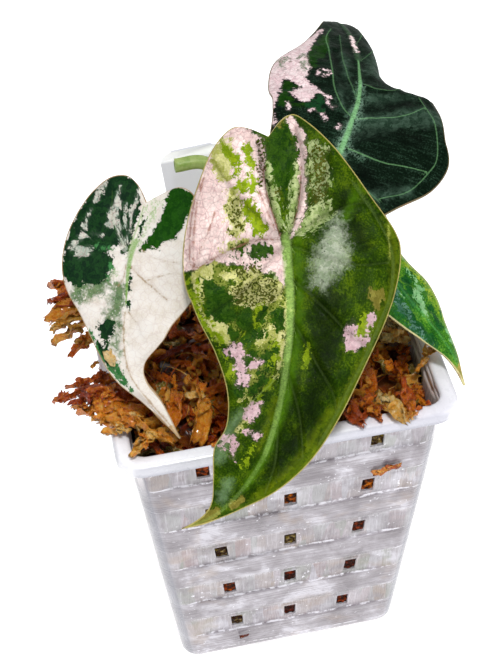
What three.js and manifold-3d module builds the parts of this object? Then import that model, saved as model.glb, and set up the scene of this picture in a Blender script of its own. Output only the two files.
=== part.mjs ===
// Potted elephant ear (Alocasia) with four variegated leaves in a square basket pot, in millimetres.
// +Z is up, the front of the pot looks along -Y, and the origin is the middle of the pot's base.
import * as THREE from 'three';
import { mergeVertices } from 'three/addons/utils/BufferGeometryUtils.js';
import Module from 'manifold-3d';

const wasm = await Module();
wasm.setup();

// Pot
const POT_HEIGHT = 133;
const RIM_HALF = 50;
const RIM_CORNER = 7.5;
const RIM_THICK = 1.6;
const SKIRT_DEPTH = 4.5;
const SKIRT_THICK = 1.5;
const WALL_TOP_HALF = 46.3;
const WALL_BASE_HALF = 37.6;
const WALL_THICK = 1.4;
const WALL_CORNER = 5.5;
const FOOT_RADIUS = 6.5;
const FLOOR_THICK = 1.6;
const ROW_COUNT = 5;
const ROW_TOP_DROP = 11.8;
const ROW_PITCH = 24;
const BAND_HALF = 5.6;
const BAND_RECESS = 0.4;
const BAND_STEP = 0.5;
const HOLE_WIDTH = 4;
const HOLE_TALL = 6.6;
const COLUMN_TOP = 26;
const COLUMN_STEP = 1.9;
const DRAIN_RADIUS = 2.2;
const DRAIN_PITCH = 14;

// Gap between pieces that rest on each other
const GAP = 0.3;

// Moss, with its heights above the rim
const BED_TOP = - 9.5;
const MOUND_HEIGHT = 5;
const MOUND_RADIUS = 38;
const MOUND_X = - 5;
const MOUND_Y = - 3;
const CHIP_PITCH = 10;
const CHIP_ROWS = 8;
const CHIP_SIDES = 4;
const CHIP_STEPS = 3;

// Stems
const CROWN_X = 3;
const CROWN_Y = 4;
const CROWN_TOP = - 3;
const CROWN_RADIUS = 7;
const SOCKET_RING = 3.9;
const SOCKET_DEPTH = 6;
const STALK_BASE_RADIUS = 1.7;
const STALK_TOP_RADIUS = 1.2;
const ROOT_RADIUS = 1.3;
const ROOT_COUNT = 5;

// Leaves
const BLADE_THICK = 0.7;
const BLADE_ROWS = 26;
const BLADE_COLUMNS = 4;

// Label
const LABEL_WIDTH = 20;
const LABEL_LENGTH = 74;
const LABEL_THICK = 0.8;
const LABEL_CORNER = 4;
const LABEL_POINT = 12;

// Everything that grows out of the pot is given by its height above the rim
const aboveRim = ( [ x, y, z ] ) => new THREE.Vector3( x, y, POT_HEIGHT + z );

// Small repeatable generator for the scatter of the moss
function seededRandom( seed ) {

	let state = seed;
	return () => {

		state = ( state * 16807 ) % 2147483647;
		return state / 2147483647;

	};

}

// Joins equal corners and drops the faces that close up to nothing
function weld( geometry ) {

	const bare = new THREE.BufferGeometry();
	bare.setAttribute( 'position', geometry.getAttribute( 'position' ).clone() );
	if ( geometry.index ) bare.setIndex( geometry.index.clone() );
	const merged = mergeVertices( bare, 1e-4 );
	const index = merged.index.array;
	const kept = [];
	for ( let i = 0; i < index.length; i += 3 ) {

		const [ a, b, c ] = [ index[ i ], index[ i + 1 ], index[ i + 2 ] ];
		if ( a !== b && b !== c && c !== a ) kept.push( a, b, c );

	}

	merged.setIndex( kept );
	return merged;

}

function solid( geometry ) {

	const closed = weld( geometry );
	return new wasm.Manifold( new wasm.Mesh( {
		numProp: 3,
		vertProperties: new Float32Array( closed.getAttribute( 'position' ).array ),
		triVerts: new Uint32Array( closed.index.array ),
	} ) );

}

function geometryOf( manifold ) {

	const mesh = manifold.getMesh();
	const geometry = new THREE.BufferGeometry();
	geometry.setAttribute( 'position', new THREE.BufferAttribute( mesh.vertProperties, 3 ) );
	geometry.setIndex( new THREE.BufferAttribute( mesh.triVerts, 1 ) );
	geometry.computeVertexNormals();
	return geometry;

}

function union( manifolds ) {

	return manifolds.reduce( ( joined, next ) => joined.add( next ) );

}

// Keeps the largest piece of a cut solid, so that no loose scrap is left
function largestPiece( manifold ) {

	const pieces = manifold.decompose();
	return pieces.reduce( ( best, next ) => ( next.volume() > best.volume() ? next : best ) );

}

// Upright bar with a rounded square section whose half width changes from level to level
function squareBar( levels, corner ) {

	const first = levels[ 0 ].half;
	const inner = first - corner;
	const outline = new THREE.Shape();
	outline.absarc( inner, inner, corner, 0, Math.PI / 2 );
	outline.absarc( - inner, inner, corner, Math.PI / 2, Math.PI );
	outline.absarc( - inner, - inner, corner, Math.PI, Math.PI * 1.5 );
	outline.absarc( inner, - inner, corner, Math.PI * 1.5, Math.PI * 2 );
	const steps = levels.length - 1;
	const bar = new THREE.ExtrudeGeometry( outline, { depth: steps, steps, bevelEnabled: false, curveSegments: 4 } );
	const position = bar.getAttribute( 'position' );
	for ( let i = 0; i < position.count; i ++ ) {

		const level = levels[ Math.round( position.getZ( i ) ) ];
		const grow = level.half - first;
		const x = position.getX( i );
		const y = position.getY( i );
		position.setXYZ( i, x + Math.sign( x ) * grow, y + Math.sign( y ) * grow, level.z );

	}

	return bar;

}

// Round bar along a curve, of the given half width and half thickness at each ring, with closed ends
function taperedBar( curve, steps, sides, sizeAt, flat ) {

	const points = [];
	const index = [];
	const side = new THREE.Vector3();
	const lift = new THREE.Vector3();
	for ( let i = 0; i <= steps; i ++ ) {

		const t = i / steps;
		const centre = curve.getPointAt( t );
		const along = curve.getTangentAt( t );
		side.crossVectors( along, flat ).normalize();
		lift.crossVectors( side, along );
		const size = sizeAt( t );
		for ( let k = 0; k < sides; k ++ ) {

			const turn = k / sides * Math.PI * 2;
			const corner = centre.clone();
			corner.addScaledVector( side, Math.cos( turn ) * size.wide );
			corner.addScaledVector( lift, Math.sin( turn ) * size.thick );
			points.push( corner );

		}

	}

	for ( let i = 0; i < steps; i ++ ) {

		for ( let k = 0; k < sides; k ++ ) {

			const a = i * sides + k;
			const b = i * sides + ( k + 1 ) % sides;
			index.push( a, a + sides, b, b, a + sides, b + sides );

		}

	}

	const last = steps * sides;
	for ( let k = 1; k < sides - 1; k ++ ) {

		index.push( 0, k, k + 1 );
		index.push( last, last + k + 1, last + k );

	}

	const geometry = new THREE.BufferGeometry().setFromPoints( points );
	geometry.setIndex( index );
	return geometry;

}

const UP = new THREE.Vector3( 0, 0, 1 );
const SIDEWAYS = new THREE.Vector3( 1, 0.2, 0 );

// Height of the middle of a row of windows, counted from the top row down
function rowHeight( row ) {

	return POT_HEIGHT - ROW_TOP_DROP - ROW_PITCH * row;

}

// Half width of the pot wall's outer face at a height, before its foot is rounded
function wallHalf( z ) {

	return THREE.MathUtils.lerp( WALL_BASE_HALF, WALL_TOP_HALF, z / ( POT_HEIGHT - SKIRT_DEPTH ) );

}

// How far a foot of a given radius is drawn in at a height above its floor
function footInset( height, radius ) {

	const rise = Math.max( 0, radius - height );
	return radius - Math.sqrt( radius * radius - rise * rise );

}

function wallLevels() {

	const levels = [ 0, 0.6, 1.8, 3.6, 6, FOOT_RADIUS ].map( ( z ) => (
		{ z, half: wallHalf( z ) - footInset( z, FOOT_RADIUS ) }
	) );
	for ( let row = ROW_COUNT - 1; row >= 0; row -- ) {

		const middle = rowHeight( row );
		const low = middle - BAND_HALF;
		const high = middle + BAND_HALF;
		levels.push( { z: low - BAND_STEP, half: wallHalf( low ) } );
		levels.push( { z: low, half: wallHalf( low ) - BAND_RECESS } );
		levels.push( { z: high, half: wallHalf( high ) - BAND_RECESS } );
		levels.push( { z: high + BAND_STEP, half: wallHalf( high ) } );

	}

	levels.push( { z: POT_HEIGHT, half: wallHalf( POT_HEIGHT ) } );
	return levels;

}

// The pot's inside, or the moss in it when a gap is given
function insideLevels( top, gap ) {

	const radius = FOOT_RADIUS - WALL_THICK;
	const floor = FLOOR_THICK + gap;
	const levels = [ 0, 1, 2.6, 4.6, radius ].map( ( rise ) => {

		const z = floor + rise;
		return { z, half: wallHalf( z ) - WALL_THICK - gap - footInset( rise, radius ) };

	} );
	levels.push( { z: top, half: wallHalf( Math.min( top, POT_HEIGHT ) ) - WALL_THICK - gap } );
	return levels;

}

function rimSolid() {

	const bottom = POT_HEIGHT - SKIRT_DEPTH;
	const outer = squareBar( [
		{ z: bottom, half: RIM_HALF - 0.2 },
		{ z: POT_HEIGHT - 0.9, half: RIM_HALF },
		{ z: POT_HEIGHT - 0.3, half: RIM_HALF - 0.2 },
		{ z: POT_HEIGHT, half: RIM_HALF - 0.8 },
	], RIM_CORNER );
	const hollow = squareBar( [
		{ z: bottom - 1, half: RIM_HALF - SKIRT_THICK },
		{ z: POT_HEIGHT - RIM_THICK, half: RIM_HALF - SKIRT_THICK },
	], RIM_CORNER - SKIRT_THICK );
	return solid( outer ).subtract( solid( hollow ) );

}

// Three open windows a row on each of the four walls
function wallWindows() {

	const boxes = [];
	for ( let face = 0; face < 4; face ++ ) {

		for ( let row = 0; row < ROW_COUNT; row ++ ) {

			const z = rowHeight( row );
			for ( let column = - 1; column <= 1; column ++ ) {

				const across = column * ( COLUMN_TOP - COLUMN_STEP * row );
				const box = new THREE.BoxGeometry( HOLE_WIDTH, WALL_THICK * 4, HOLE_TALL );
				box.translate( across, - wallHalf( z ) + WALL_THICK / 2, z );
				box.rotateZ( face * Math.PI / 2 );
				boxes.push( solid( box ) );

			}

		}

	}

	return union( boxes );

}

function drainHoles() {

	const holes = [];
	for ( let i = 0; i < 4; i ++ ) {

		for ( let j = 0; j < 4; j ++ ) {

			const hole = new THREE.CylinderGeometry( DRAIN_RADIUS, DRAIN_RADIUS, FLOOR_THICK * 3, 8 );
			hole.rotateX( Math.PI / 2 );
			hole.translate( ( i - 1.5 ) * DRAIN_PITCH, ( j - 1.5 ) * DRAIN_PITCH, FLOOR_THICK / 2 );
			holes.push( solid( hole ) );

		}

	}

	return union( holes );

}

function potGeometry() {

	const shell = solid( squareBar( wallLevels(), WALL_CORNER ) ).add( rimSolid() );
	const inside = solid( squareBar( insideLevels( POT_HEIGHT + 1, 0 ), WALL_CORNER - WALL_THICK ) );
	return geometryOf( shell.subtract( inside ).subtract( wallWindows() ).subtract( drainHoles() ) );

}

// Each leaf: the midrib's points from behind the stalk (the second point) to the tip, the way its face
// looks at even steps along the midrib, its keel and droop across, and rows of outline. A row holds a
// point on the spine, then the edge on the leaf's own right and on its left, all as [ along, across ]
// from the stalk, measured flat on the blade. The stalk leans from its socket by way of a bend.
const LEAVES = {
	front: {
		midrib: [
			[ 12, 1, 62 ], [ 7, - 16, 46 ], [ 5, - 30, 36 ], [ 1, - 42, 26 ], [ - 5, - 53, 17 ],
			[ - 13, - 62, 9 ], [ - 21, - 67, 3 ], [ - 28, - 69, - 1 ], [ - 36, - 68.5, - 5 ],
		],
		faces: [ [ - 0.05, - 0.5, 0.86 ], [ - 0.05, - 0.55, 0.83 ], [ - 0.1, - 0.65, 0.75 ], [ - 0.15, - 0.75, 0.65 ] ],
		keel: 0.1,
		droop: 0.004,
		wave: { height: 0.9, count: 5.5, start: 0.6 },
		rows: [
			[ [ - 27.5, 7 ], [ - 27.5, 7 ], [ - 27.5, 7 ] ],
			[ [ - 24, 5.5 ], [ - 29.5, 13 ], [ - 32, 3.8 ] ],
			[ [ - 19, 4 ], [ - 29, 17.5 ], [ - 34, 0.5 ] ],
			[ [ - 13, 2.5 ], [ - 23.5, 22 ], [ - 32, - 3.5 ] ],
			[ [ - 7, 1 ], [ - 15, 25 ], [ - 25, - 11.5 ] ],
			[ [ - 2, 0 ], [ - 4, 28 ], [ - 14, - 21 ] ],
			[ [ 4, 0 ], [ 5, 29.5 ], [ - 2, - 29 ] ],
			[ [ 12, 0 ], [ 14, 28.8 ], [ 9, - 30 ] ],
			[ [ 21, 0 ], [ 24, 25.8 ], [ 20, - 25.8 ] ],
			[ [ 31, 0 ], [ 35, 20.2 ], [ 32, - 20.5 ] ],
			[ [ 42, 0 ], [ 46, 15.2 ], [ 45, - 16.3 ] ],
			[ [ 53, 0 ], [ 57, 12 ], [ 57, - 12.5 ] ],
			[ [ 63, 0 ], [ 66, 12 ], [ 67, - 8 ] ],
			[ [ 72, 0 ], [ 73.5, 7.7 ], [ 75, - 4 ] ],
			[ [ 81, 0 ], [ 81.5, 1.8 ], [ 82, - 1.6 ] ],
			[ [ 91.5, 0 ], [ 91.5, 0 ], [ 91.5, 0 ] ],
		],
		socket: 0,
		bend: [ 6, - 4, 21 ],
	},
	left: {
		midrib: [
			[ - 29, 7, 47 ], [ - 36, - 4, 38 ], [ - 40, - 15, 29 ], [ - 42.5, - 23, 22 ],
			[ - 42, - 29, 15 ], [ - 37.5, - 35, 9 ], [ - 31, - 44, 3 ],
		],
		faces: [ [ - 0.15, - 0.45, 0.88 ], [ - 0.15, - 0.5, 0.85 ], [ - 0.2, - 0.6, 0.8 ], [ - 0.2, - 0.65, 0.75 ] ],
		keel: 0.12,
		droop: 0.004,
		wave: { height: 0.7, count: 4.5, start: 0.2 },
		rows: [
			[ [ - 15.5, 0 ], [ - 15.5, 0 ], [ - 15.5, 0 ] ],
			[ [ - 13, 0 ], [ - 19.5, 3.5 ], [ - 20, - 5 ] ],
			[ [ - 10, 0 ], [ - 21.5, 7.5 ], [ - 22, - 9 ] ],
			[ [ - 7, 0 ], [ - 19.5, 12 ], [ - 20.5, - 13 ] ],
			[ [ - 3, 0 ], [ - 13.5, 16 ], [ - 14.5, - 16.5 ] ],
			[ [ 1, 0 ], [ - 5.5, 18.5 ], [ - 6, - 19 ] ],
			[ [ 6, 0 ], [ 2.5, 19 ], [ 3, - 20 ] ],
			[ [ 12, 0 ], [ 10, 17.2 ], [ 11, - 19 ] ],
			[ [ 18, 0 ], [ 18, 12.5 ], [ 18.3, - 14 ] ],
			[ [ 24, 0 ], [ 25, 8 ], [ 25, - 11 ] ],
			[ [ 31, 0 ], [ 32, 5 ], [ 31.5, - 5.5 ] ],
			[ [ 38, 0 ], [ 39.5, 2 ], [ 38.5, - 3.5 ] ],
			[ [ 45, 0 ], [ 46, 1 ], [ 45.5, - 3 ] ],
			[ [ 51, 0 ], [ 51.5, 0.6 ], [ 51.5, - 1.5 ] ],
			[ [ 57, 0 ], [ 57, 0 ], [ 57, 0 ] ],
		],
		socket: 4,
		bend: [ - 12, 6, 17 ],
	},
	back: {
		midrib: [
			[ 22, 5, 43 ], [ 30, 17, 46 ], [ 35, 26, 47 ], [ 40, 36, 47 ], [ 46, 58, 43 ],
			[ 50, 84, 35.5 ], [ 49.5, 103, 26 ], [ 45, 111, 15 ],
		],
		faces: [ [ 0, - 0.1, 1 ], [ 0.1, 0, 1 ], [ 0.2, 0.2, 0.9 ], [ 0.3, 0.6, 0.7 ] ],
		keel: 0.1,
		droop: 0.005,
		roll: { from: 27, to: 46, start: 1, reach: 7, turn: 1.25 },
		wave: { height: 1, count: 4.5, start: 0.1 },
		rows: [
			[ [ - 15, 0 ], [ - 15, 0 ], [ - 15, 0 ] ],
			[ [ - 12.5, 0 ], [ - 22, 4.5 ], [ - 22, - 4.5 ] ],
			[ [ - 10, 0 ], [ - 24.5, 11 ], [ - 24.5, - 10 ] ],
			[ [ - 7, 0 ], [ - 20.5, 17 ], [ - 21, - 16 ] ],
			[ [ - 4, 0 ], [ - 12.5, 23.6 ], [ - 13, - 20 ] ],
			[ [ 0, 0 ], [ - 4.5, 28.5 ], [ - 1.5, - 21.8 ] ],
			[ [ 7, 0 ], [ 4.5, 30.7 ], [ 8, - 23.4 ] ],
			[ [ 15, 0 ], [ 12, 28.2 ], [ 18, - 26.5 ] ],
			[ [ 25, 0 ], [ 20, 25.3 ], [ 29, - 28 ] ],
			[ [ 35, 0 ], [ 28, 22 ], [ 39, - 27.2 ] ],
			[ [ 46, 0 ], [ 37.5, 17 ], [ 50, - 22.3 ] ],
			[ [ 58, 0 ], [ 50, 13.5 ], [ 62, - 16.4 ] ],
			[ [ 70, 0 ], [ 64, 10.5 ], [ 74, - 11 ] ],
			[ [ 82, 0 ], [ 79, 6.5 ], [ 85, - 7 ] ],
			[ [ 95, 0 ], [ 94, 2.8 ], [ 97, - 3.2 ] ],
			[ [ 109, 0 ], [ 109, 0 ], [ 109, 0 ] ],
		],
		socket: 2,
		bend: [ 8, 21, 22 ],
	},
	right: {
		midrib: [
			[ 26, 5, 31 ], [ 29, 0, 29 ], [ 36, - 13, 24 ], [ 41, - 22, 19 ], [ 46, - 28, 13 ],
			[ 51, - 34, 6 ], [ 54.5, - 38, - 3 ],
		],
		faces: [ [ 0.2, - 0.3, 0.9 ], [ 0.3, - 0.3, 0.85 ], [ 0.45, - 0.35, 0.8 ], [ 0.6, - 0.4, 0.7 ] ],
		keel: 0,
		droop: 0.014,
		wave: { height: 0.4, count: 4, start: 0.4 },
		rows: [
			[ [ - 8, 0 ], [ - 8, 0 ], [ - 8, 0 ] ],
			[ [ - 6.5, 0 ], [ - 11.5, 3 ], [ - 11.5, - 3 ] ],
			[ [ - 5, 0 ], [ - 13, 7 ], [ - 13, - 7 ] ],
			[ [ - 3, 0 ], [ - 10.5, 10.5 ], [ - 10.5, - 10 ] ],
			[ [ 1, 0 ], [ - 5, 12.8 ], [ - 5, - 12 ] ],
			[ [ 6, 0 ], [ 2, 14 ], [ 2, - 12 ] ],
			[ [ 12, 0 ], [ 10, 13.3 ], [ 10, - 9.8 ] ],
			[ [ 18, 0 ], [ 18, 11 ], [ 17, - 9.4 ] ],
			[ [ 25, 0 ], [ 25.5, 8.7 ], [ 25, - 10.8 ] ],
			[ [ 32, 0 ], [ 32, 7.3 ], [ 33.5, - 10.2 ] ],
			[ [ 39, 0 ], [ 38, 5.4 ], [ 39.6, - 6.3 ] ],
			[ [ 46, 0.2 ], [ 44.5, 2.8 ], [ 45.5, - 3 ] ],
			[ [ 52, 0.6 ], [ 52, 1.7 ], [ 52, - 0.6 ] ],
			[ [ 57.5, 1.4 ], [ 57.5, 1.4 ], [ 57.5, 1.4 ] ],
		],
		socket: 1,
		bend: [ 13, 1, 15 ],
	},
};

// Bends the right half of a blade down beside its midrib: what is left of the width, and the drop
function rollDown( roll, along, across ) {

	const past = roll ? across - roll.start : 0;
	const turn = roll ? roll.turn * THREE.MathUtils.smoothstep( along, roll.from, roll.to ) : 0;
	if ( past <= 0 || turn < 0.001 ) return { across, drop: 0 };
	const bent = Math.min( past, roll.reach );
	const straight = past - bent;
	const angle = turn * bent / roll.reach;
	const radius = roll.reach / turn;
	return {
		across: roll.start + radius * Math.sin( angle ) + straight * Math.cos( angle ),
		drop: radius * ( 1 - Math.cos( angle ) ) + straight * Math.sin( angle ),
	};

}

// Point on a blade's middle surface at a place along and across it, with the surface's own normal
function bladeSurface( leaf ) {

	const curve = new THREE.CatmullRomCurve3( leaf.midrib.map( aboveRim ), false, 'centripetal' );
	curve.arcLengthDivisions = 400;
	const lengths = curve.getLengths( 400 );
	const behind = lengths[ Math.round( 400 / ( leaf.midrib.length - 1 ) ) ];
	const total = lengths[ 400 ];
	const faces = leaf.faces.map( ( face ) => new THREE.Vector3( ...face ) );

	function place( along, across, lift ) {

		const reach = THREE.MathUtils.clamp( ( along + behind ) / total, 0, 1 );
		const centre = curve.getPointAt( reach );
		const forward = curve.getTangentAt( reach );
		centre.addScaledVector( forward, along + behind - reach * total );
		const step = reach * ( faces.length - 1 );
		const low = Math.min( Math.floor( step ), faces.length - 2 );
		const normal = faces[ low ].clone().lerp( faces[ low + 1 ], step - low );
		normal.addScaledVector( forward, - normal.dot( forward ) ).normalize();
		const side = new THREE.Vector3().crossVectors( forward, normal );
		const height = lift + leaf.keel * ( Math.hypot( across, 1 ) - 1 ) - leaf.droop * across * across;
		const rolled = rollDown( leaf.roll, along, across );
		return centre.addScaledVector( side, rolled.across ).addScaledVector( normal, height - rolled.drop );

	}

	return place;

}

// Closed thin blade: one upper and one lower sheet with the same triangles, joined round the margin
function bladeGeometry( leaf ) {

	const place = bladeSurface( leaf );
	const flat = ( k ) => new THREE.SplineCurve( leaf.rows.map( ( row ) => new THREE.Vector2( ...row[ k ] ) ) );
	const spine = flat( 0 );
	const edges = [ flat( 1 ), flat( 2 ) ];
	const across = BLADE_COLUMNS * 2;
	const upper = [];
	const lower = [];
	for ( let i = 0; i <= BLADE_ROWS; i ++ ) {

		const t = i / BLADE_ROWS;
		const ends = Math.min( 1, 6 * t, 6 * ( 1 - t ) );
		for ( let j = 0; j <= across; j ++ ) {

			const edge = edges[ j < BLADE_COLUMNS ? 0 : 1 ];
			const out = Math.abs( j - BLADE_COLUMNS ) / BLADE_COLUMNS;
			const spot = spine.getPoint( t ).lerp( edge.getPoint( t ), out );
			const turn = 2 * Math.PI * ( leaf.wave.count * t + leaf.wave.start + ( j < BLADE_COLUMNS ? 0 : 0.37 ) );
			const lift = leaf.wave.height * ends * out * out * Math.sin( turn );
			const centre = place( spot.x, spot.y, lift );
			const ahead = place( spot.x + 0.3, spot.y, lift ).sub( centre );
			const aside = place( spot.x, spot.y + 0.3, lift ).sub( centre );
			const normal = aside.cross( ahead ).normalize();
			upper.push( centre.clone().addScaledVector( normal, BLADE_THICK / 2 ) );
			lower.push( centre.clone().addScaledVector( normal, - BLADE_THICK / 2 ) );

		}

	}

	const index = [];
	const under = upper.length;
	const row = across + 1;
	function wall( a, b ) {

		index.push( a, a + under, b, b, a + under, b + under );

	}

	for ( let i = 0; i < BLADE_ROWS; i ++ ) {

		for ( let j = 0; j < across; j ++ ) {

			const a = i * row + j;
			const faces = [ [ a, a + row, a + 1 ], [ a + 1, a + row, a + row + 1 ] ];
			for ( const [ p, q, r ] of faces ) {

				index.push( p, q, r );
				index.push( p + under, r + under, q + under );

			}

		}

		wall( i * row, ( i + 1 ) * row );
		wall( ( i + 1 ) * row + across, i * row + across );

	}

	const geometry = new THREE.BufferGeometry().setFromPoints( [ ...upper, ...lower ] );
	geometry.setIndex( index );
	return solid( geometry );

}

// Where a stalk meets its blade: the blade's lower face at the stalk, and the way down from it
function stalkEnd( leaf ) {

	const place = bladeSurface( leaf );
	const top = place( 0, 0, 0 );
	const down = top.clone().sub( place( 0, 0, 1 ) );
	return { top, down };

}

function socketPlace( number ) {

	const turn = ( number / 5 ) * Math.PI * 2 - Math.PI / 2;
	return [ CROWN_X + SOCKET_RING * Math.cos( turn ), CROWN_Y + SOCKET_RING * Math.sin( turn ) ];

}

function stalkCurve( leaf ) {

	const [ x, y ] = socketPlace( leaf.socket );
	const { top, down } = stalkEnd( leaf );
	const clear = BLADE_THICK / 2 + GAP;
	return new THREE.CatmullRomCurve3( [
		aboveRim( [ x, y, CROWN_TOP - SOCKET_DEPTH + GAP ] ),
		aboveRim( [ x, y, CROWN_TOP ] ),
		aboveRim( leaf.bend ),
		top.clone().addScaledVector( down, 7 ),
		top.clone().addScaledVector( down, clear ),
	], false, 'centripetal' );

}

function stalkGeometry( leaf, grow ) {

	const radius = ( t ) => THREE.MathUtils.lerp( STALK_BASE_RADIUS, STALK_TOP_RADIUS, Math.min( 1, t * 1.6 ) ) + grow;
	const size = ( t ) => ( { wide: radius( t ), thick: radius( t ) } );
	return solid( taperedBar( stalkCurve( leaf ), 14, 8, size, SIDEWAYS ) );

}

// Old stalk, cut off short, that leans over at the back left
const CUT_STALK = {
	socket: 3,
	path: [ [ 0, 19, 14 ], [ - 3, 30, 29 ], [ - 9, 33, 35 ], [ - 17.5, 33, 35.5 ] ],
};

function cutStalkGeometry( grow ) {

	const [ x, y ] = socketPlace( CUT_STALK.socket );
	const curve = new THREE.CatmullRomCurve3( [
		aboveRim( [ x, y, CROWN_TOP - SOCKET_DEPTH + GAP ] ),
		aboveRim( [ x, y, CROWN_TOP ] ),
		...CUT_STALK.path.map( aboveRim ),
	], false, 'centripetal' );
	const radius = ( t ) => THREE.MathUtils.lerp( STALK_BASE_RADIUS, 2.1, Math.min( 1, Math.max( 0, t * 2 - 0.5 ) ) ) + grow;
	const size = ( t ) => ( { wide: radius( t ), thick: radius( t ) } );
	return solid( taperedBar( curve, 14, 8, size, SIDEWAYS ) );

}

// Roots that run out and down from the crown through the moss
function rootSolids( grow ) {

	const roots = [];
	for ( let k = 0; k < ROOT_COUNT; k ++ ) {

		const turn = ( k + 0.5 ) / ROOT_COUNT * Math.PI * 2;
		const reach = 20 + 3 * ( k % 3 );
		const path = [ [ 2, - 19 ], [ 12, - 27 ], [ reach, - 47 ], [ reach - 3, - 73 ] ].map( ( [ out, z ] ) => (
			aboveRim( [ CROWN_X + out * Math.cos( turn ), CROWN_Y + out * Math.sin( turn ), z ] )
		) );
		const radius = ( t ) => THREE.MathUtils.lerp( ROOT_RADIUS, 0.7, t ) + grow;
		const size = ( t ) => ( { wide: radius( t ), thick: radius( t ) } );
		const curve = new THREE.CatmullRomCurve3( path );
		roots.push( solid( taperedBar( curve, 6, 5, size, SIDEWAYS ) ) );

	}

	return union( roots );

}

// Short stem at the moss's surface that all the stalks and roots grow from
function crownSolid( grow ) {

	const profile = [
		[ 0, - 24 - grow ], [ 3.5 + grow, - 23 - grow ], [ 6.2 + grow, - 17 ],
		[ CROWN_RADIUS + grow, - 10 ], [ CROWN_RADIUS - 0.4 + grow, CROWN_TOP + grow ], [ 0, CROWN_TOP + grow ],
	].map( ( [ r, z ] ) => new THREE.Vector2( r, POT_HEIGHT + z ) );
	const body = new THREE.LatheGeometry( profile, 12 );
	body.rotateX( Math.PI / 2 );
	body.translate( CROWN_X, CROWN_Y, 0 );
	return solid( body ).add( rootSolids( grow ) );

}

function crownGeometry() {

	const sockets = Object.values( LEAVES ).map( ( leaf ) => stalkGeometry( leaf, GAP ) );
	sockets.push( cutStalkGeometry( GAP ) );
	for ( let number = 0; number < 5; number ++ ) {

		const [ x, y ] = socketPlace( number );
		const bore = new THREE.CylinderGeometry( STALK_BASE_RADIUS + GAP, STALK_BASE_RADIUS + GAP, SOCKET_DEPTH * 2, 10 );
		bore.rotateX( Math.PI / 2 );
		bore.translate( x, y, POT_HEIGHT + CROWN_TOP );
		sockets.push( solid( bore ) );

	}

	return geometryOf( largestPiece( crownSolid( 0 ).subtract( union( sockets ) ) ) );

}

// Blank white label, pushed into the moss at the back left
const LABEL_PLACE = new THREE.Matrix4().compose(
	aboveRim( [ - 11.5, 38, 37 ] ),
	new THREE.Quaternion().setFromEuler( new THREE.Euler( THREE.MathUtils.degToRad( - 2 ), THREE.MathUtils.degToRad( - 4 ), 0 ) ),
	new THREE.Vector3( 1, 1, 1 ),
);

function labelGeometry( grow ) {

	const half = LABEL_WIDTH / 2 + grow;
	const top = grow;
	const shoulder = LABEL_POINT - LABEL_LENGTH;
	const outline = new THREE.Shape();
	outline.moveTo( - half, shoulder );
	outline.lineTo( 0, - LABEL_LENGTH - grow );
	outline.lineTo( half, shoulder );
	outline.absarc( half - LABEL_CORNER, top - LABEL_CORNER, LABEL_CORNER, 0, Math.PI / 2 );
	outline.absarc( LABEL_CORNER - half, top - LABEL_CORNER, LABEL_CORNER, Math.PI / 2, Math.PI );
	const depth = LABEL_THICK + 2 * grow;
	const plate = new THREE.ExtrudeGeometry( outline, { depth, bevelEnabled: false, curveSegments: 5 } );
	plate.translate( 0, 0, - depth / 2 );
	plate.rotateX( Math.PI / 2 );
	plate.applyMatrix4( LABEL_PLACE );
	return solid( plate );

}

// Height of the moss's surface, which swells in a low mound round the crown
function mossHeight( x, y ) {

	const out = Math.hypot( x - MOUND_X, y - MOUND_Y ) / MOUND_RADIUS;
	return BED_TOP + MOUND_HEIGHT * Math.sqrt( Math.max( 0, 1 - out * out ) );

}

function moundSolid() {

	const mound = new THREE.SphereGeometry( 1, 16, 8 );
	mound.rotateX( Math.PI / 2 );
	mound.scale( MOUND_RADIUS, MOUND_RADIUS, MOUND_HEIGHT );
	mound.translate( MOUND_X, MOUND_Y, POT_HEIGHT + BED_TOP );
	return solid( mound );

}

// One bent strip of moss along a curve, thick in the middle and thin at its ends
function strip( curve, steps, wide, thick ) {

	const size = ( t ) => {

		const full = 0.22 + 0.78 * Math.sin( Math.PI * ( 0.15 + 0.82 * t ) );
		return { wide: wide * full, thick: thick * full };

	};

	return solid( taperedBar( curve, steps, CHIP_SIDES, size, UP ) );

}

function scatteredChips() {

	const random = seededRandom( 41 );
	const chips = [];
	const middle = ( CHIP_ROWS - 1 ) / 2;
	for ( let i = 0; i < CHIP_ROWS; i ++ ) {

		for ( let j = 0; j < CHIP_ROWS; j ++ ) {

			const x = ( i - middle + ( random() - 0.5 ) * 0.7 ) * CHIP_PITCH;
			const y = ( j - middle + ( random() - 0.5 ) * 0.7 ) * CHIP_PITCH;
			const turn = random() * Math.PI;
			const reach = 5.5 + random() * 3;
			const tilt = ( random() - 0.5 ) * 3;
			const wide = 2.4 + random() * 1.4;
			const limit = wallHalf( POT_HEIGHT + BED_TOP ) - WALL_THICK - GAP - 2.5;
			const bound = ( value ) => THREE.MathUtils.clamp( value, - limit, limit );
			const spot = ( way ) => {

				const px = bound( x + way * reach * Math.cos( turn ) );
				const py = bound( y + way * reach * Math.sin( turn ) );
				return aboveRim( [ px, py, mossHeight( px, py ) - 0.3 + way * tilt ] );

			};

			const peak = aboveRim( [ x, y, mossHeight( x, y ) + 3 + random() * 4 ] );
			const arch = new THREE.QuadraticBezierCurve3( spot( - 1 ), peak, spot( 1 ) );
			chips.push( strip( arch, CHIP_STEPS, wide, 1.6 + random() * 0.6 ) );

		}

	}

	return chips;

}

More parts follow.
